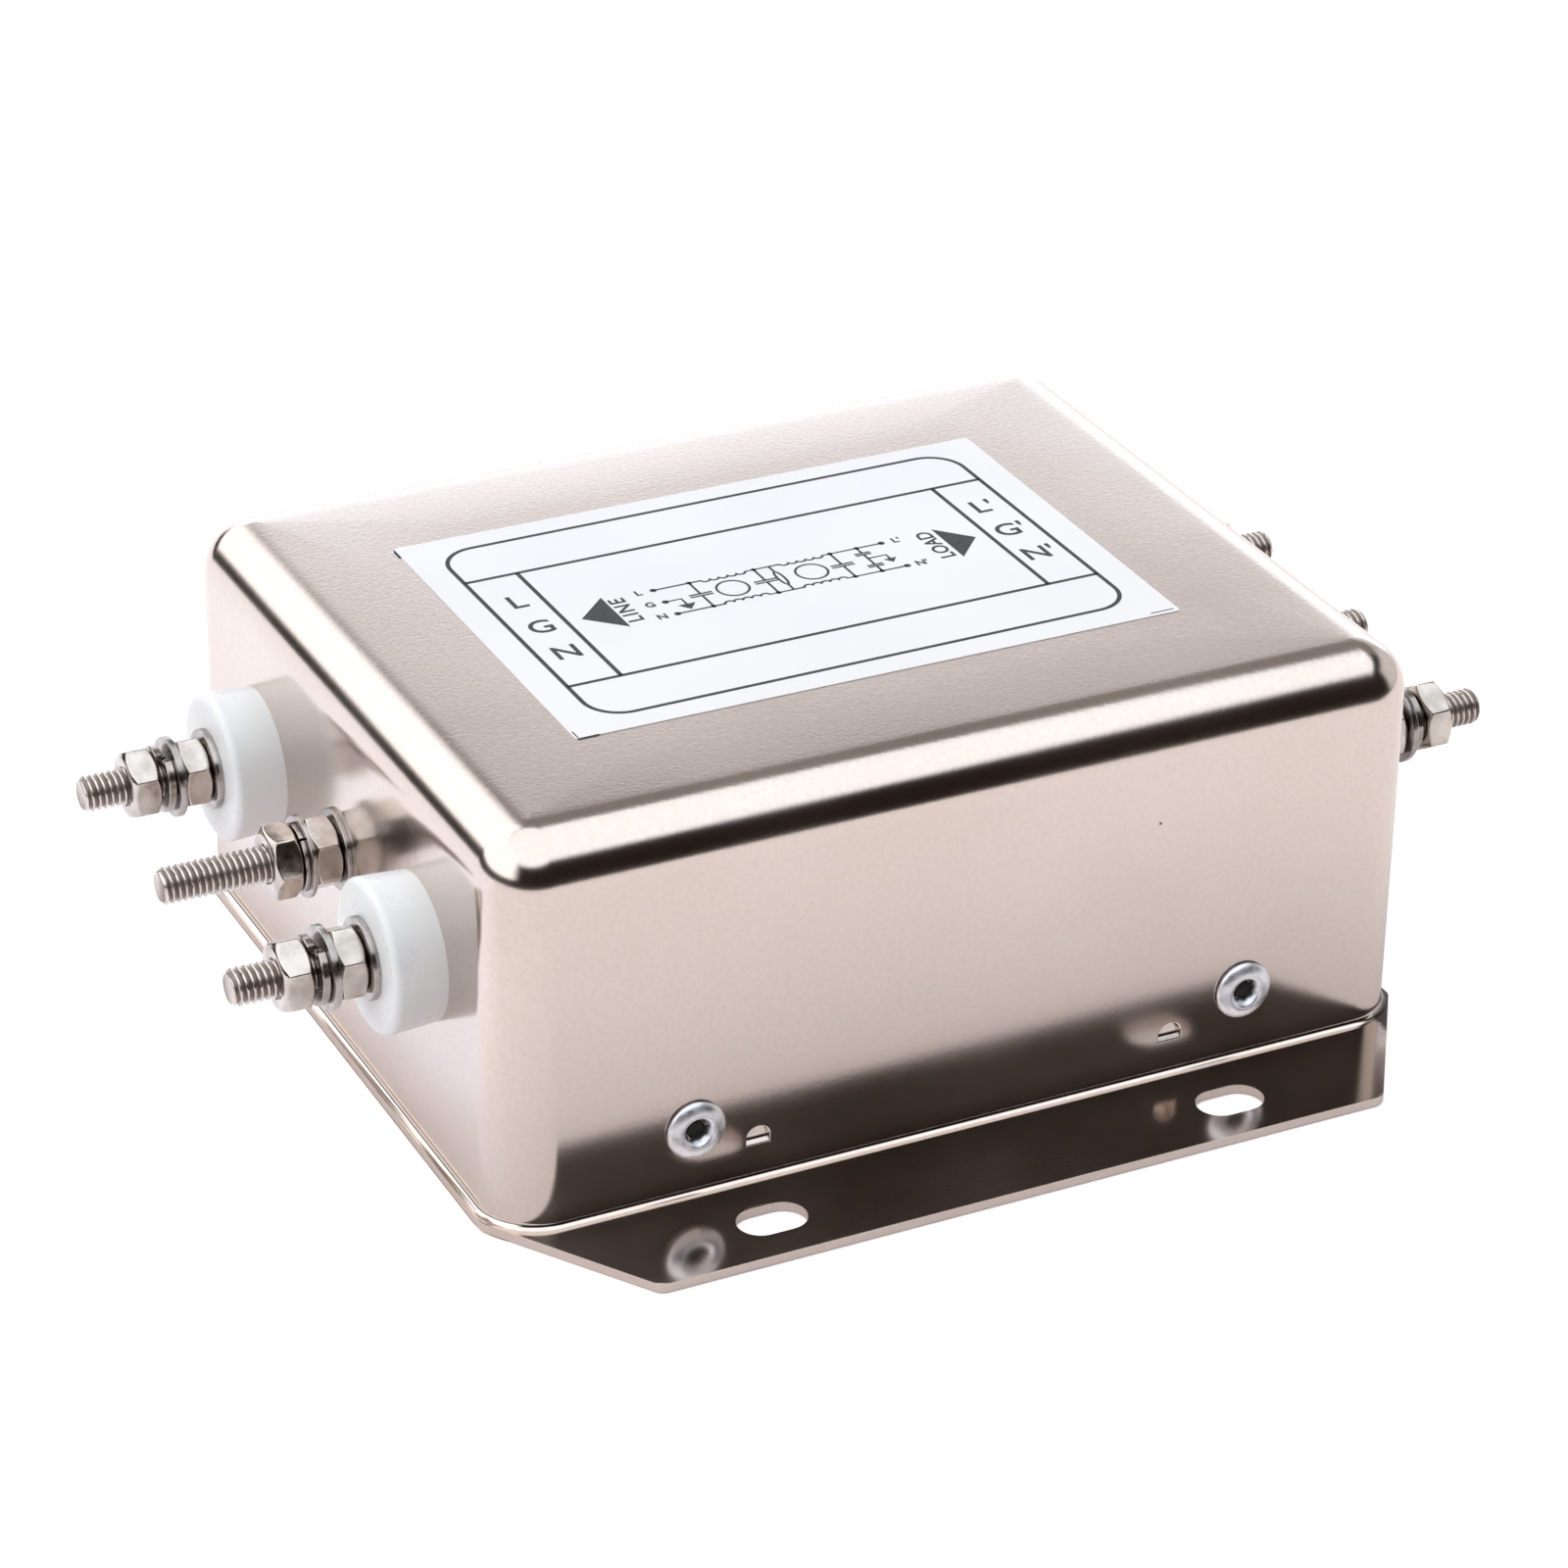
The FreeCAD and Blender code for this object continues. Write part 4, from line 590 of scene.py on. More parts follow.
# %% Geometry Nodes helper
class Recipe(Nodes):
    """A Geometry Nodes tree with named sizes in millimetres."""

    def __init__(self, name, **sizes):
        super().__init__(bpy.data.node_groups.new(name, "GeometryNodeTree"))
        face = self.tree.interface
        face.new_socket("Geometry", in_out="OUTPUT", socket_type="NodeSocketGeometry")
        face.new_socket("Places", in_out="INPUT", socket_type="NodeSocketGeometry")
        self.keys = {}
        for label, value in sizes.items():
            socket = face.new_socket(label, in_out="INPUT", socket_type="NodeSocketFloat")
            socket.default_value = value
            self.keys[label] = socket.identifier
        finish = face.new_socket("Finish", in_out="INPUT", socket_type="NodeSocketMaterial")
        self.keys["Finish"] = finish.identifier
        self.start = self.add("NodeGroupInput")

    def __getitem__(self, label):
        return Term(self, self.start.outputs[label])

    def pick(self, index, values):
        """The value that stands at this index of a list."""
        node = self.add("GeometryNodeIndexSwitch", data_type="FLOAT")
        while len(node.index_switch_items) < len(values):
            node.index_switch_items.new()
        for number, value in enumerate([index + 0.5, *values]):
            self.put(node.inputs[number], value)
        return Term(self, node.outputs[0])

    def grid(self, columns, rows):
        """A flat grid, with terms that count its columns and rows from 0."""
        mesh = self.add("GeometryNodeMeshGrid", {"Size X": columns, "Size Y": rows - 1,
                                                 "Vertices X": columns + 1, "Vertices Y": rows})
        x, y, _ = self.apart(self.add("GeometryNodeInputPosition"))
        return mesh.outputs["Mesh"], x + columns / 2, y + (rows - 1) / 2

    def wrap(self, mesh, angle, radius, height):
        """Bend the grid round the Z axis and weld its seam and its poles."""
        place = self.add("ShaderNodeCombineXYZ", {
            "X": radius * self.math("COSINE", angle), "Y": radius * self.math("SINE", angle), "Z": height})
        bent = self.add("GeometryNodeSetPosition", {"Geometry": mesh, "Position": place})
        return self.add("GeometryNodeMergeByDistance", {"Geometry": bent, "Distance": 0.0005})

    def turned(self, columns, profile):
        """A ring or a disc from a profile of (radius, height); a size may be a function of the angle."""
        mesh, column, row = self.grid(columns, len(profile))
        angle = column * (math.tau / columns)
        radius, height = (self.pick(row, [size(angle) if callable(size) else size for size in sizes])
                          for sizes in zip(*profile))
        return self.wrap(mesh, angle, radius, height)

    def dress(self, shape):
        """The end of every recipe: millimetres to metres, real geometry, and its finish."""
        metres = self.add("GeometryNodeTransform", {"Geometry": shape, "Scale": (MM, MM, MM)})
        real = self.add("GeometryNodeRealizeInstances", {"Geometry": metres})
        dressed_up = self.add("GeometryNodeSetMaterial", {"Geometry": real, "Material": self["Finish"]})
        self.add("NodeGroupOutput", {"Geometry": dressed_up})
        return self

    def finish(self, one):
        """Copy one piece to every place and dress it."""
        turn, stretch = (self.add("GeometryNodeInputNamedAttribute", {"Name": name}, data_type="FLOAT_VECTOR")
                         for name in ("turn", "stretch"))
        return self.dress(self.add("GeometryNodeInstanceOnPoints", {
            "Points": self["Places"], "Instance": one, "Scale": stretch,
            "Rotation": self.add("FunctionNodeEulerToRotation", {"Euler": turn})}))

    def run(self, name, mesh, material, sizes, bevel=0.0):
        """The mesh that the recipe makes of a mesh of places or lines."""
        holder = placed(name, mesh)
        modifier = holder.modifiers.new(name, "NODES")
        modifier.node_group = self.tree
        modifier[self.keys["Finish"]] = material
        for label, value in sizes.items():
            modifier[self.keys[label]] = value
        if bevel:
            edge = holder.modifiers.new("broken_edges", "BEVEL")
            edge.width, edge.segments, edge.limit_method = bevel * MM, 3, "ANGLE"
            edge.angle_limit = math.radians(24)
        return settled(holder)

    def build(self, name, places, material, slot, *nodes, sharp=32, bevel=0.0, **sizes):
        """Run the recipe on (point, turn, stretch) places and make a piece of its mesh."""
        points = bpy.data.meshes.new(name)
        points.from_pydata([place for place, turn, stretch in places], [], [])
        for label, number in (("turn", 1), ("stretch", 2)):
            attribute = points.attributes.new(label, "FLOAT_VECTOR", "POINT")
            for item, place in zip(attribute.data, places):
                item.vector = place[number]
        piece(name, self.run(name, points, material, sizes, bevel), None, slot, *nodes, sharp=sharp)


def facing(axis, side, roll=0.0):
    """Rotation that turns +Z outwards at a wall, after a roll about the piece's own axis."""
    turned = Matrix.Rotation(math.radians(90 * side), 3, axis) @ Matrix.Rotation(math.radians(roll), 3, "Z")
    return tuple(turned.to_euler("XYZ"))


WHOLE = (1.0, 1.0, 1.0)

# %% [markdown]
# ### The stack on each stud
# From the wall outwards: the white bushing, a flat washer, a nut, another washer, a split spring washer
# and the outer nut. The ground studs have no bushing, thinner washers and a spring washer pressed flat.

# %% Where everything stands along the studs
SPRING_HEIGHT = SPRING_THICKNESS + SPRING_RISE
stacks = {}
for terminal in TERMINAL_Y:
    grounded = terminal == "ground"
    flat = THIN_WASHER if grounded else WASHER_THICKNESS
    spring = THIN_WASHER if grounded else SPRING_HEIGHT
    distance = WALL_X + (0 if grounded else BUSHING_LENGTH)
    stack = {}
    for part, thickness in (("washer_1", flat), ("inner_nut", NUT_THICKNESS), ("washer_2", flat),
                            ("spring", spring), ("outer_nut", NUT_THICKNESS)):
        stack[part] = distance
        distance += thickness
    stacks[terminal] = stack
    print(terminal, {part: round(place, 2) for part, place in stack.items()}, "ends at", round(distance, 2))


def on_studs(part, roll=lambda terminal: 0.0, terminals=tuple(TERMINAL_Y), stretch=lambda terminal: WHOLE):
    return [((side * stacks[terminal][part], TERMINAL_Y[terminal], TERMINAL_Z),
             facing("Y", side, roll(terminal)), stretch(terminal))
            for side in ENDS.values() for terminal in terminals]


# %% [markdown]
# ### Hexagon nuts
# A nut is a hexagonal bar, drilled and then chamfered on a lathe, which is why its corners end in
# curved hips. Between two corners the distance from the axis is half the width over flats divided by
# the cosine of the angle. Where the lathe's cone meets that surface, the cone's height is proportional
# to how far the bar sticks out past the round face, so the hip curve comes out exact.

# %% Recipe for a nut
SIDE_ANGLE, NUT_SINK = math.radians(60), 0.3


def nut_recipe():
    nut = Recipe("hex_nut", Flats=NUT_FLATS, Thickness=NUT_THICKNESS, Face=NUT_FACE, Chamfer=NUT_CHAMFER,
                 Bore=2 * STUD_RADIUS)
    thick, half_face, bore = nut["Thickness"], nut["Face"] / 2, nut["Bore"] / 2
    slope = nut["Chamfer"] / (nut["Flats"] / (2 * math.cos(SIDE_ANGLE / 2)) - half_face)

    def hexagon(angle):
        from_middle = nut.math("MODULO", angle, SIDE_ANGLE) - SIDE_ANGLE / 2
        return nut["Flats"] / 2 / nut.math("COSINE", from_middle)

    def hip(angle):
        return (hexagon(angle) - half_face) * slope

    def upper_hip(angle):
        return thick - hip(angle)

    mouth, upper = bore + NUT_SINK, thick - NUT_SINK
    return nut.finish(nut.turned(72, [
        (bore, NUT_SINK), (mouth, 0.0), (half_face, 0.0), (hexagon, hip), (hexagon, upper_hip),
        (half_face, thick), (mouth, thick), (bore, upper), (bore, NUT_SINK)]))


hex_nut = nut_recipe()
for layer, row in enumerate(("inner", "outer")):
    places = on_studs(row + "_nut", lambda terminal: NUT_TURNS[terminal][layer])
    hex_nut.build("bright_%s_hex_nuts" % row, places, nut_nickel, "nut_steel", row + "_hex_nuts", sharp=40,
                  bevel=0.13)

# %% [markdown]
# ### Flat and split washers
# Flat washers are punched, so one side has a soft edge. The split washer is a short length of square
# wire wound one turn to the left: the recipe bends its section round the axis while it climbs, and the
# first and last columns shrink to a point, which closes the two cut faces.

# %% Recipes for washers
PUNCHED, BURR_EDGE, PRESSED_CUT = 0.08, 0.05, 5


def washer_recipe():
    washer = Recipe("flat_washer", Radius=WASHER_RADIUS, Bore=WASHER_BORE, Thickness=WASHER_THICKNESS,
                    Edge=0.16)
    radius, bore, thick, edge = (washer[k] for k in ("Radius", "Bore", "Thickness", "Edge"))
    return washer.finish(washer.turned(64, [
        (bore, PUNCHED), (bore + PUNCHED, 0.0), (radius - BURR_EDGE, 0.0), (radius, BURR_EDGE),
        (radius, thick - edge), (radius - edge * 0.3, thick - edge * 0.3), (radius - edge, thick),
        (bore + PUNCHED, thick), (bore, thick - PUNCHED), (bore, PUNCHED)]))


def split_recipe(columns=66):
    split = Recipe("split_washer", Radius=SPRING_RADIUS, Bore=WASHER_BORE, Thickness=SPRING_THICKNESS,
                   Rise=SPRING_RISE, Cut=math.radians(SPRING_CUT), Edge=0.1)
    radius, bore, thick, edge = (split[k] for k in ("Radius", "Bore", "Thickness", "Edge"))
    section = [(bore, edge), (bore + edge, 0.0), (radius - edge, 0.0), (radius, edge),
               (radius, thick - edge), (radius - edge, thick), (bore + edge, thick), (bore, thick - edge),
               (bore, edge)]
    mesh, column, row = split.grid(columns, len(section))
    along = split.spread(column, 1.0, columns - 1.0)
    solid = split.within(column, 0.5, columns - 0.5)

    def closing(middle, values):
        return middle + (split.pick(row, values) - middle) * solid

    angle = along * (math.tau - split["Cut"]) * -1
    height = closing(thick / 2, [z for r, z in section]) + along * split["Rise"]
    reach = closing((radius + bore) / 2, [r for r, z in section])
    return split.finish(split.wrap(mesh, angle, reach, height))


def thinned(terminal):
    return (1, 1, THIN_WASHER / WASHER_THICKNESS if terminal == "ground" else 1)


flat_washer = washer_recipe()
split_washer = split_recipe()
washers = on_studs("washer_1", stretch=thinned) + on_studs("washer_2", stretch=thinned)
flat_washer.build("plated_washers", washers, washer_nickel, "washer_steel", "flat_washers")
springs = on_studs("spring", lambda terminal: SPRING_TURN, ("line", "neutral"))
split_washer.build("open_spring_washers", springs, spring_nickel, "spring_steel", "spring_washers")
pressed = on_studs("spring", lambda terminal: SPRING_TURN, ("ground",))
split_washer.build("pressed_spring_washers", pressed, spring_nickel, "spring_steel", "spring_washers",
                   Thickness=THIN_WASHER, Rise=0.0, Cut=math.radians(PRESSED_CUT))

# %% [markdown]
# ### Threaded studs
# A rolled thread is one long ridge that climbs by its pitch on every turn. On the grid, the height of
# the ridge at a point depends only on the height along the stud minus the angle's share of a pitch.
# The chamfer at each end cuts the ridge down, and the first and last rows close the ends.

# %% Recipe for a stud
def stud_recipe(columns=36, rows_per_turn=8):
    stud = Recipe("threaded_stud", Length=30.0, Radius=STUD_RADIUS, Pitch=THREAD_PITCH, Depth=THREAD_DEPTH,
                  Chamfer=STUD_CHAMFER)
    length, pitch = stud["Length"], stud["Pitch"]
    rows = stud.math("CEIL", length / pitch * rows_per_turn)
    mesh, column, row = stud.grid(columns, rows)
    angle = column * (math.tau / columns)
    height = stud.spread(row, 1.0, rows - 2) * length
    phase = height / pitch - angle / math.tau
    crest = stud.spread(stud.math("COSINE", phase * math.tau), -0.75, 0.65)
    ridge = stud["Radius"] - stud["Depth"] * (1.0 - crest)
    inside = stud["Radius"] - stud["Chamfer"] + stud.math("MINIMUM", height, length - height)
    radius = stud.math("MINIMUM", ridge, inside) * stud.within(row, 0.5, rows - 1.5)
    noted = stud.add("GeometryNodeStoreNamedAttribute", {"Geometry": mesh, "Name": "crest", "Value": crest},
                     data_type="FLOAT", domain="POINT")
    return stud.finish(stud.wrap(noted, angle, radius, height))


threaded_stud = stud_recipe()
for end, side in ENDS.items():
    for terminal, across in TERMINAL_Y.items():
        inner_end, tip = STUD_ENDS[terminal]
        place = ((side * inner_end, across, TERMINAL_Z), facing("Y", side, 40 * side + across), WHOLE)
        name = "%s_%s_stud" % (end, terminal)
        threaded_stud.build("threaded_" + name, [place], stud_steel, "stud_steel", name, sharp=60,
                            Length=tip - inner_end)

# %% [markdown]
# ### Bushings
# They are moulded in white plastic, a little wider at the front so that they leave the mould, with a
# soft front edge. A neck goes through the wall.

# %% Recipe for a bushing
NECK_RADIUS, NECK_END = 4.8, -3.0


def bushing_recipe():
    bushing = Recipe("bushing", Front=BUSHING_FRONT, Root=BUSHING_ROOT, Length=BUSHING_LENGTH, Edge=0.8)
    front, root, length, edge = (bushing[k] for k in ("Front", "Root", "Length", "Edge"))
    profile = [(BUSHING_BORE, NECK_END), (NECK_RADIUS, NECK_END), (NECK_RADIUS, 0.0), (root, 0.0),
               (root, 0.15), (front - 0.03, length - 1.1)]
    profile += [(front - edge * (1 - out), length - edge * (1 - up)) for out, up in arc(1.0, 0, 90, 7)]
    profile += [(5.2, length), (4.95, length), (2.4, length), (BUSHING_BORE, length - 0.3),
                (BUSHING_BORE, NECK_END)]
    return bushing.finish(bushing.turned(96, profile))


bushing = bushing_recipe()
for end, side in ENDS.items():
    for terminal in ("line", "neutral"):
        place = ((side * WALL_X, TERMINAL_Y[terminal], TERMINAL_Z), facing("Y", side), WHOLE)
        name = "%s_%s_bushing" % (end, terminal)
        bushing.build("moulded_" + name, [place], bushing_plastic, "bushing_plastic", name)

# %% [markdown]
# ### Blind rivets
# A blind rivet keeps a broken stem in its hole. The head is a low dome with an upright rim, and the
# mouth of the hole is torn a little uneven by the stem. The can's wall isn't drilled here, so the stem's
# end is a cup just above it, painted near-black as painted shade of the hole.

# %% Recipe for a rivet and its stem
RIVET_SHANK, SHANK_END = 1.6, -2.2
# The dome as shares of the rim's radius and of the head's height, from the wall up and into the hole
DOME = [(0.93, 0.0), (0.93, 0.14), (1.0, 0.18), (1.0, 0.28), (0.99, 0.38), (0.955, 0.52), (0.89, 0.68),
        (0.80, 0.83), (0.70, 0.94), (0.62, 1.0), (0.55, 0.98), (0.495, 0.86), (0.45, 0.68), (0.41, 0.46)]


def rivet_recipe():
    rivet = Recipe("blind_rivet", Rim=3.15, Height=1.0)
    rim, top = rivet["Rim"], rivet["Height"]

    def ragged(radius):
        """The mouth of the hole, which the stem tore uneven."""
        return lambda angle: (rivet.math("SINE", angle * 3) + rivet.math("SINE", angle * 8)) * 0.05 + radius

    profile = [(RIVET_SHANK, SHANK_END), (RIVET_SHANK, 0.0)] + [(rim * r, top * z) for r, z in DOME]
    profile += [(ragged(1.16), 0.2), (ragged(1.08), -0.1), (1.05, SHANK_END), (RIVET_SHANK, SHANK_END)]
    return rivet.finish(rivet.turned(64, profile))


def stem_recipe():
    stem = Recipe("rivet_stem", Radius=1.0)
    radius = stem["Radius"]
    return stem.finish(stem.turned(24, [
        (0.0, SHANK_END), (radius, SHANK_END), (radius, 0.3), (radius * 0.93, 0.36), (radius * 0.8, 0.1),
        (radius * 0.4, 0.04), (0.0, 0.07)]))


rivet_places = [((x, sy * CAN_WIDTH / 2, z), facing("X", -sy, 40 * sx), WHOLE)
                for sx, (x, z) in RIVETS.items() for sy in (-1, 1)]
rivet_recipe().build("rivet_heads", rivet_places, rivet_bright, "rivet_aluminium", "blind_rivets", sharp=50)
stem_recipe().build("rivet_stems", rivet_places, rivet_stem, "mandrel_steel", "rivet_mandrels")

# %% [markdown]
# ## The label
# A white film with black print: a framed plan with the terminal letters in two side columns, an arrow
# towards each end, and the circuit of a two-stage filter. Lines are ribbons that follow a path, so a
# recipe sweeps a thin section along each polyline.

# %% The label's film
LABEL_BOTTOM, LABEL_TOP, INK_TOP, INK = CAN_HEIGHT - 0.005, CAN_HEIGHT + 0.075, CAN_HEIGHT + 0.09, 0.03


def flat_shape(name, points, bottom, top):
    """A thin filled shape between two heights, from points counted from the label's middle."""
    form = bmesh.new()
    rings = [[form.verts.new(((LABEL_X + x) * MM, y * MM, z * MM)) for x, y in points]
             for z in (bottom, top)]
    loft(form, (rings[1], rings[0]))
    form.faces.new(rings[1])
    form.faces.new(list(reversed(rings[0])))
    return mesh_of(form, name)


film_outline = rounded_rectangle(LABEL_LENGTH / 2, LABEL_WIDTH / 2, LABEL_CORNER, 6)
piece("label_sheet", flat_shape("label_sheet", film_outline, LABEL_BOTTOM, LABEL_TOP), label_film, "label",
      "top_label")


# %% Recipe for printed lines
def line_recipe():
    line = Recipe("printed_line", Width=0.35, Depth=INK)
    path = line.add("GeometryNodeMeshToCurve", {"Mesh": line["Places"]})
    level = line.add("GeometryNodeSetCurveNormal", {"Curve": path}, mode="Z_UP")
    section = line.add("GeometryNodeCurvePrimitiveQuadrilateral",
                       {"Width": line["Width"], "Height": line["Depth"]})
    return line.dress(line.add("GeometryNodeCurveToMesh", {
        "Curve": level, "Profile Curve": section.outputs[0], "Fill Caps": True}))


printed_line = line_recipe()


def print_lines(name, paths, width):
    """Ribbons along paths of label points, each path a list of (x, y) from the label's middle."""
    points, edges = [], []
    for path in paths:
        first = len(points)
        closed = path[0] == path[-1]
        path = path[:-1] if closed else path
        points += [(LABEL_X + x, y, INK_TOP - INK / 2) for x, y in path]
        edges += [(first + i, first + i + 1) for i in range(len(path) - 1)]
        if closed:
            edges.append((first + len(path) - 1, first))
    mesh = bpy.data.meshes.new(name)
    mesh.from_pydata(points, edges, [])
    return printed_line.run(name, mesh, label_ink, {"Width": width})


# %% [markdown]
# ### What is printed
# The circuit is drawn as in any textbook: a coil is a row of small humps beside its ring core, a
# capacitor two short plates, and the ground a filled triangle. Heavy lines frame the plan.

# %% The frame and the columns
FRAME_X, FRAME_Y, FRAME_RADIUS, BAND_Y, COLUMN_LEFT, COLUMN_RIGHT = 30.25, 20.4, 3.9, 12.87, -24.35, 24.45
HEAVY_LINE, THIN_LINE, MARK_LINE = 0.48, 0.27, 0.16
frame_path = rounded_rectangle(FRAME_X, FRAME_Y, FRAME_RADIUS, 12)
frame_path.append(frame_path[0])
heavy = [frame_path, [(-FRAME_X, BAND_Y), (FRAME_X, BAND_Y)], [(-FRAME_X, -BAND_Y), (FRAME_X, -BAND_Y)],
         [(COLUMN_LEFT, BAND_Y), (COLUMN_LEFT, -BAND_Y)], [(COLUMN_RIGHT, BAND_Y), (COLUMN_RIGHT, -BAND_Y)]]


# %% The circuit
def ellipse(x, y, rx, ry, steps=32):
    points = [(x + rx * math.cos(math.tau * i / steps), y + ry * math.sin(math.tau * i / steps))
              for i in range(steps)]
    return points + [points[0]]


def humps(x, y, length, count, side):
    """A winding: half rounds side by side along a line."""
    size = length / count
    return [(x + size * (i + 0.5 - 0.5 * math.cos(math.radians(a))),
             y + side * size * 0.42 * math.sin(math.radians(a)))
            for i in range(count) for a in range(0, 180, 20)] + [(x + length, y)]


def capacitor(x, top, bottom, gap=0.45, plate=1.3):
    middle = (top + bottom) / 2
    return [[(x, top), (x, middle + gap / 2)], [(x, middle - gap / 2), (x, bottom)],
            [(x - plate, middle + gap / 2), (x + plate, middle + gap / 2)],
            [(x - plate, middle - gap / 2), (x + plate, middle - gap / 2)]]


CENTRE, RAIL = 0.18, 2.97
UPPER, LOWER = CENTRE + RAIL, CENTRE - RAIL
LEFT_END, RIGHT_END, X_CAPACITORS, Y_CAPACITORS = -13.3, 13.25, (-9.2, -1.75, 7.16), 10.3
FIRST_COIL, SECOND_COIL, RESISTOR_HALF = -7.85, 1.25, 1.6
thin = []
for rail, side in ((UPPER, -1), (LOWER, 1)):
    thin.append([(LEFT_END, rail), (FIRST_COIL, rail)] + humps(FIRST_COIL, rail, 5.1, 5, side)
                + [(SECOND_COIL, rail)] + humps(SECOND_COIL, rail, 5.0, 5, side) + [(RIGHT_END, rail)])
for x in X_CAPACITORS:
    thin += capacitor(x, UPPER, LOWER)
thin += [ellipse(x, CENTRE, 1.72, 1.76) for x in (-5.57, 3.55)]
thin.append(ellipse(0.0, CENTRE, 0.36, RESISTOR_HALF, 16))
thin += [[(0.0, UPPER), (0.0, CENTRE + RESISTOR_HALF)], [(0.0, CENTRE - RESISTOR_HALF), (0.0, LOWER)]]
thin += capacitor(Y_CAPACITORS, UPPER, CENTRE, 0.4, 0.9) + capacitor(Y_CAPACITORS, CENTRE, LOWER, 0.4, 0.9)
# Each ground: where its line starts, its own x, the line's height, and the triangle's top, half and drop
grounds = [(Y_CAPACITORS, 12.4, CENTRE + 0.3, CENTRE - 0.6, 0.75, 0.95),
           (LEFT_END, -11.5, CENTRE, CENTRE - 1.3, 1.0, 1.25)]
for link, x, y, top, half, drop in grounds:
    thin.append([(link, y), (x, y), (x, top)])
# Thin dark strokes along the label's edge at three corners, inked like the print.
marks = [[(-33.8, 23.2), (-33.8, 21.5)], [(-33.8, -21.8), (-33.8, -23.35), (-31.6, -23.35)],
         [(30.6, -23.35), (33.3, -23.35)]]
print("lines:", len(heavy), "heavy,", len(thin), "thin,", len(marks), "corner marks")


# %% Letters and arrows
def letters(text, x, y, size, turn=0.0, bold=0.05, spacing=1.0):
    """A printed word, centred on a label point; bold is how far its strokes grow to each side."""
    curve = bpy.data.curves.new("word", "FONT")
    curve.body, curve.size, curve.extrude = text, size * MM, INK / 2 * MM
    curve.align_x, curve.align_y = "CENTER", "CENTER"
    curve.offset, curve.space_character = bold * MM, spacing
    curve.resolution_u = 4
    mesh = settled(placed("word", curve))
    mesh.transform(Matrix.Translation(((LABEL_X + x) * MM, y * MM, (INK_TOP - INK / 2) * MM))
                   @ Matrix.Rotation(math.radians(turn), 4, "Z"))
    return mesh


def inked(points):
    return flat_shape("shape", points, INK_TOP - INK, INK_TOP)


def joined(name, meshes):
    """One mesh from several, the parts thrown away."""
    form = bmesh.new()
    for mesh in meshes:
        form.from_mesh(mesh)
        bpy.data.meshes.remove(mesh)
    return mesh_of(form, name, outwards=False)


LETTER, WORD, SMALL = 4.0, 2.45, 1.5
printed = [print_lines("heavy_lines", heavy, HEAVY_LINE), print_lines("thin_lines", thin, THIN_LINE),
           print_lines("corner_marks", marks, MARK_LINE)]
for column, mark in ((-27.15, ""), (27.3, "'")):
    for letter, y in (("L", 6.5), ("G", 0.3), ("N", -5.95)):
        printed.append(letters(letter + mark, column, y, LETTER))
printed += [letters("LINE", -17.65, CENTRE, WORD, 90, spacing=1.2),
            letters("LOAD", 18.3, CENTRE + 0.2, WORD, 90)]
for x, y, word in ((-15.0, UPPER, "L"), (-15.0, CENTRE, "G"), (-15.0, LOWER, "N"), (15.0, UPPER, "L'"),
                   (15.0, LOWER, "N'")):
    printed.append(letters(word, x, y, SMALL))
printed += [inked([(-22.7, 0.25), (-18.9, -3.4), (-18.9, 3.9)]),
            inked([(23.0, 0.25), (19.6, 3.9), (19.6, -3.4)])]
printed += [inked([(x - half, top), (x, top - drop), (x + half, top)])
            for link, x, y, top, half, drop in grounds]
joints = [(x, y, 0.3) for x in (*X_CAPACITORS, Y_CAPACITORS) for y in (UPPER, LOWER)]
joints += [(LEFT_END, y, 0.38) for y in (UPPER, CENTRE, LOWER)]
joints += [(RIGHT_END, y, 0.38) for y in (UPPER, LOWER)]
printed += [inked(ellipse(x, y, radius, radius, 12)[:-1]) for x, y, radius in joints]
print_mesh = joined("label_print", printed)
PRINT_TILT, PRINT_SHIFT = 0.5, (-0.05, 0.15)
middle = Matrix.Translation((LABEL_X * MM, 0, 0))
print_mesh.transform(Matrix.Translation((PRINT_SHIFT[0] * MM, PRINT_SHIFT[1] * MM, 0)) @ middle
                     @ Matrix.Rotation(math.radians(PRINT_TILT), 4, "Z") @ middle.inverted())
piece("label_print", print_mesh, label_ink, "label")

# %% [markdown]
# ## Ground, light and camera
# The picture was taken in a white tent whose front stays open towards a dark room. Polished metal shows
# all of that: a bright ceiling, a bright left and far side, and a dark front. A world that depends on
# direction gives these reflections, and a soft even light with them. Camera rays see plain white.

# %% Floor
FLOOR_LEFT, FLOOR_FRONT, FLOOR_REACH = -2.0, -0.42, 2.0
SHADE_REACH, FLOOR_SEEN, FLOOR_IN_METAL, COOL = 0.055, 0.50, 0.17, (0.55, 0.70, 0.90, 1)


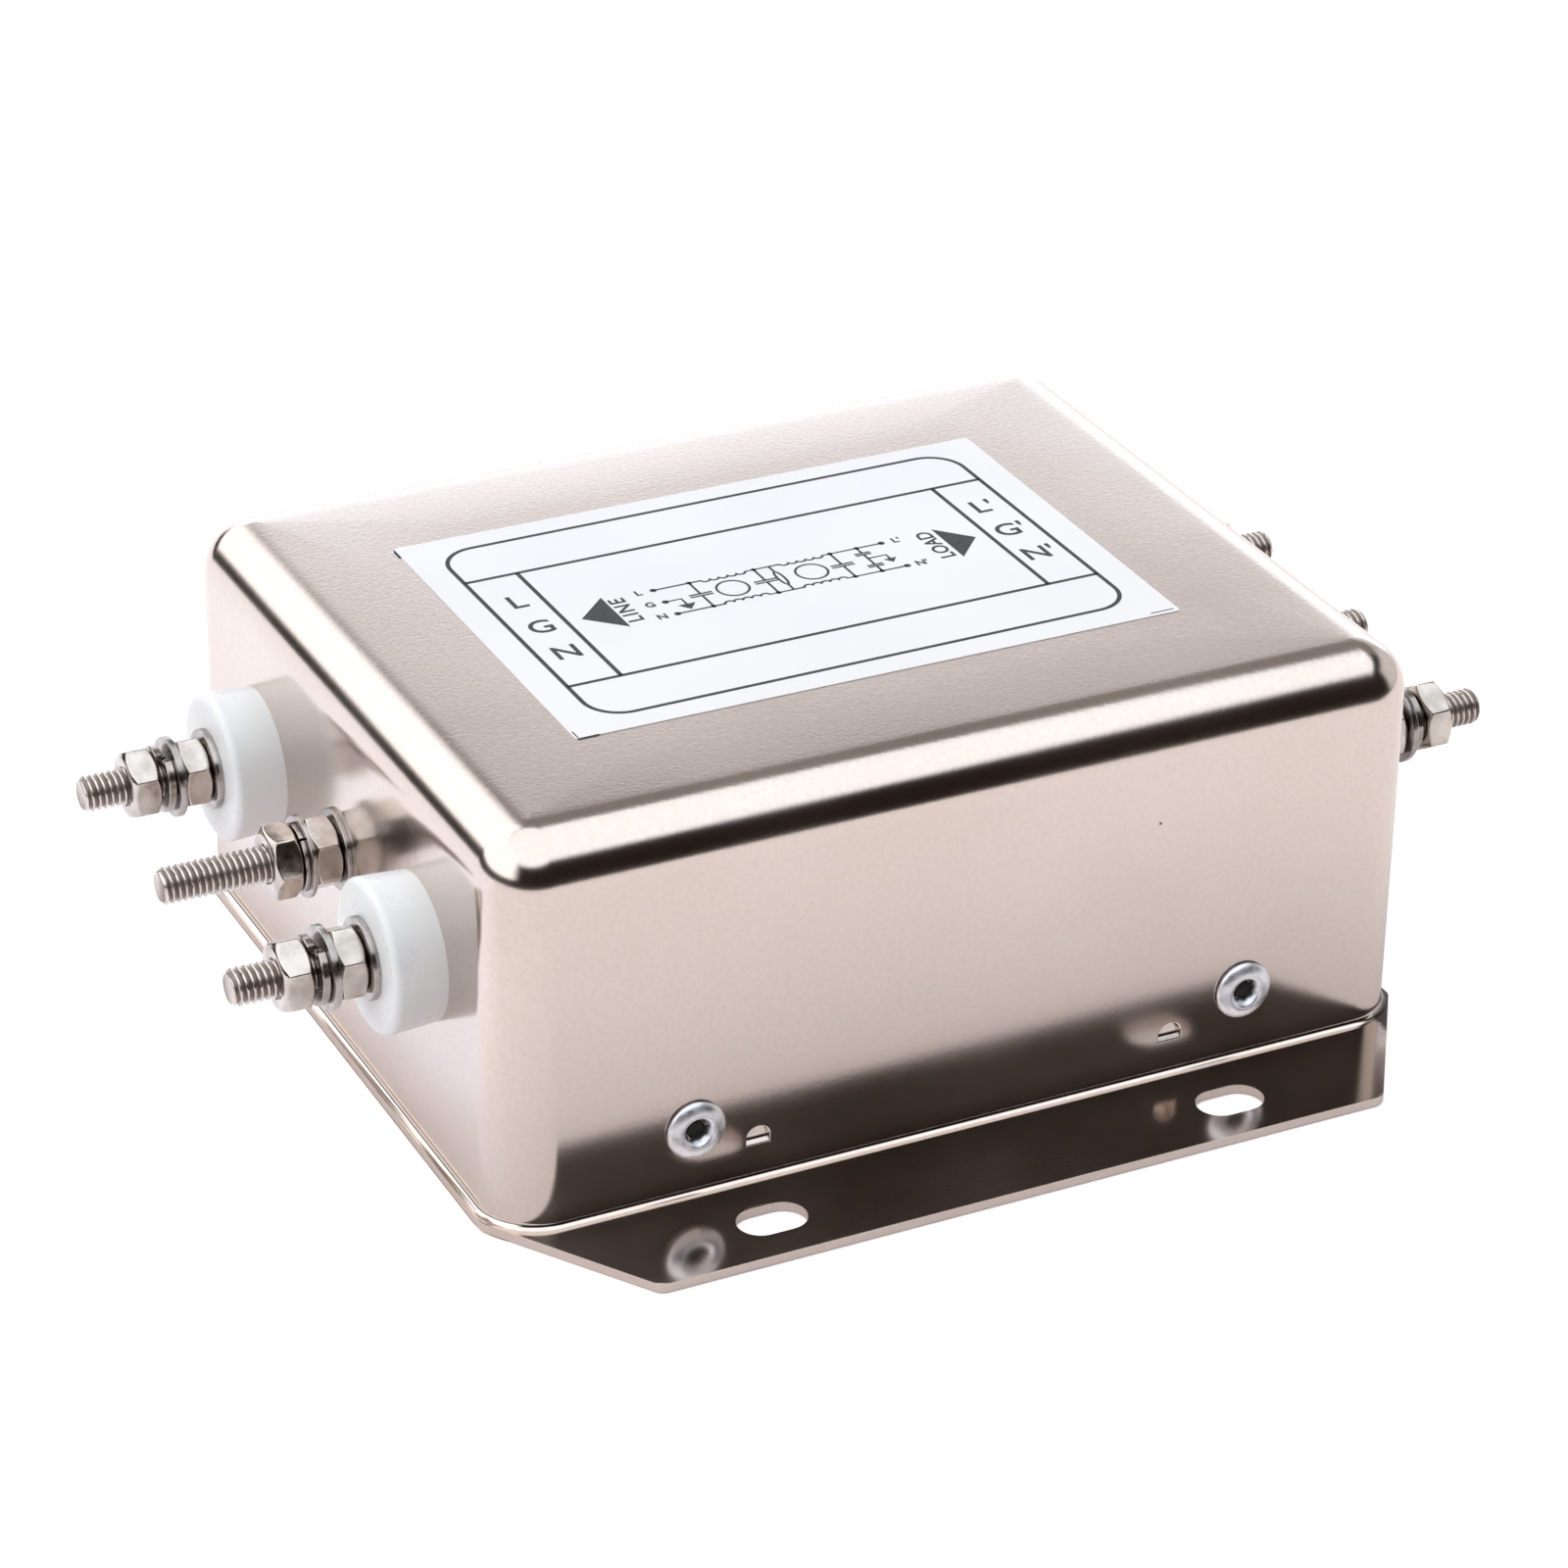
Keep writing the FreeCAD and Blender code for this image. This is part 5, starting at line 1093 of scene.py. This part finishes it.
def white_ground():
    """Matt white. Metal sees painted light on it: a glow that grows away from the can, which leaves painted
    shade round it, and a cool glow on the left.
    """
    finish = Finish("white_ground", (0.86, 0.79, 0.77), 0.0, 0.9)
    x, y, _ = finish.apart(finish.place)
    beside = finish.math("MAXIMUM", finish.math("ABSOLUTE", x) - CAN_LENGTH / 2 * MM, 0.0)
    before = finish.math("MAXIMUM", finish.math("ABSOLUTE", y) - SHADE_REACH, 0.0)
    away = finish.math("SQRT", beside * beside + before * before)
    path = finish.add("ShaderNodeLightPath").outputs
    in_camera, in_metal = (Term(finish, path[ray]) for ray in ("Is Camera Ray", "Is Glossy Ray"))
    # Camera rays see the floor lifted to white; glossy rays see the painted glow, with painted shade round
    # the can.
    glow = finish.add("ShaderNodeEmission", {
        "Color": (1, 1, 1, 1),
        "Strength": in_camera * FLOOR_SEEN + finish.spread(away, 0.0, 0.04, 0.0, FLOOR_IN_METAL) * in_metal})
    left_side = finish.spread(x, -0.052, -0.060) * finish.spread(y, -0.045, -0.010)
    cool = finish.add("ShaderNodeEmission", {
        "Color": COOL, "Strength": left_side * in_metal * finish.spread(away, 0.0, 0.03, 0.62, 0.28)})
    surface = finish.shader
    for extra in (glow, cool):
        surface = finish.add("ShaderNodeAddShader", {0: surface.outputs[0], 1: extra})
    finish.put(finish.tree.nodes["Material Output"].inputs["Surface"], surface)
    return finish.material


def floor_sheet():
    corners = [(FLOOR_LEFT, FLOOR_FRONT), (FLOOR_REACH, FLOOR_FRONT), (FLOOR_REACH, FLOOR_REACH),
               (FLOOR_LEFT, FLOOR_REACH)]
    mesh = bpy.data.meshes.new("floor")
    mesh.from_pydata([(x, y, 0.0) for x, y in corners], [], [(0, 1, 2, 3)])
    mesh.materials.append(white_ground())
    placed("floor", mesh)


floor_sheet()


# %% World
CEILING, SIDES, RIGHT, GAP = (1.50, 1.60, 1.70), (1.75, 1.78, 1.82), (0.80, 0.80, 0.80), (0.28, 0.26, 0.25)
NIGHT = (0.018, 0.012, 0.009)
FAR_LOW, FAR_HIGH = (1.54, 1.66, 1.80), (0.79, 0.77, 0.79)
CEILING_TILT, CEILING_AZIMUTH = math.radians(9.5), math.radians(195)
CEILING_START, CEILING_FULL = 0.70, 0.79
# Each panel: its two azimuths in degrees, how soft its ends are, its bottom and top, and its upper fade
SIDES_SPAN, FAR_SPAN = (-126, 6, 10, 0.20, 0.80, 0.08), (0, 62, 6, -0.10, 0.495, 0.06)
GAP_SPAN, RIGHT_SPAN = (0, 80, 10, 0.30, 0.86, 0.06), (60, 115, 8, 0.0, 0.50, 0.12)


def tent_world():
    world = bpy.data.worlds.new("tent")
    bpy.context.scene.world = world
    world.use_nodes = True
    sky = Nodes(world.node_tree)
    towards = sky.add("ShaderNodeTexCoord").outputs["Generated"]
    x, y, z = sky.apart(towards)
    azimuth = sky.math("ARCTAN2", x, y) * math.degrees(1)
    zenith = (math.sin(CEILING_AZIMUTH) * math.sin(CEILING_TILT),
              math.cos(CEILING_AZIMUTH) * math.sin(CEILING_TILT), math.cos(CEILING_TILT))
    overhead = sky.add("ShaderNodeVectorMath", {0: towards, 1: zenith}, operation="DOT_PRODUCT")

    def panel(start, end, soft, bottom, top, fade):
        height = (sky.spread(z, bottom - 0.04, bottom + 0.04, smooth=True)
                  * sky.spread(z, top, top + fade, 1.0, 0.0, smooth=True))
        return height * (sky.spread(azimuth, start - soft, start + soft, smooth=True)
                         * sky.spread(azimuth, end - soft, end + soft, 1.0, 0.0, smooth=True))

    def tinted(level, colour):
        return sky.add("ShaderNodeVectorMath", {0: colour, "Scale": level}, operation="SCALE").outputs[0]

    def brighter(first, second):
        return sky.add("ShaderNodeVectorMath", {0: first, 1: second}, operation="MAXIMUM").outputs[0]

    falling = sky.spread(z + (azimuth - 26) * 0.0035, 0.398, 0.434, 1.0, 0.0)
    far_colour = brighter(tinted(falling, FAR_LOW), FAR_HIGH)
    light = tinted(sky.spread(overhead.outputs["Value"], CEILING_START, CEILING_FULL, smooth=True), CEILING)
    for one in (tinted(panel(*SIDES_SPAN), SIDES), tinted(panel(*FAR_SPAN), far_colour),
                tinted(panel(*GAP_SPAN), GAP), tinted(panel(*RIGHT_SPAN), RIGHT), NIGHT):
        light = brighter(light, one)
    seen = sky.add("ShaderNodeLightPath").outputs["Is Camera Ray"]
    sky.put(world.node_tree.nodes["Background"].inputs["Color"], brighter(light, tinted(seen, WHOLE)))


tent_world()

# %% Camera
# Where the camera stood in millimetres, and its axes: to the right, up, and back towards the viewer.
STAND = Vector((-210.258, -421.017, 273.316))
RIGHT_AXIS = Vector((0.89812863, -0.43956363, 0.01219717))
UP_AXIS = Vector((0.19901672, 0.43105792, 0.88010307))
BACK_AXIS = Vector((-0.39211899, -0.78801833, 0.47462597))
camera = placed("camera", bpy.data.cameras.new("camera"))
axes = Matrix((RIGHT_AXIS, UP_AXIS, BACK_AXIS)).transposed().to_4x4()
camera.matrix_world = Matrix.Translation(STAND * MM) @ axes
camera.data.sensor_width, camera.data.lens = 36.0, 115.695
camera.data.clip_start, camera.data.clip_end = 0.01, 50.0
bpy.context.scene.camera = camera
bpy.context.scene.view_settings.view_transform = "Standard"
print("camera at", [round(c, 1) for c in STAND], "lens", camera.data.lens)

# %% [markdown]
# ## Count of the pieces
# The last line prints how many pieces were made and how many faces they have.

# %% Sizes and finish
print(len(made_pieces), "pieces,", sum(len(p.data.polygons) for p in made_pieces), "faces")
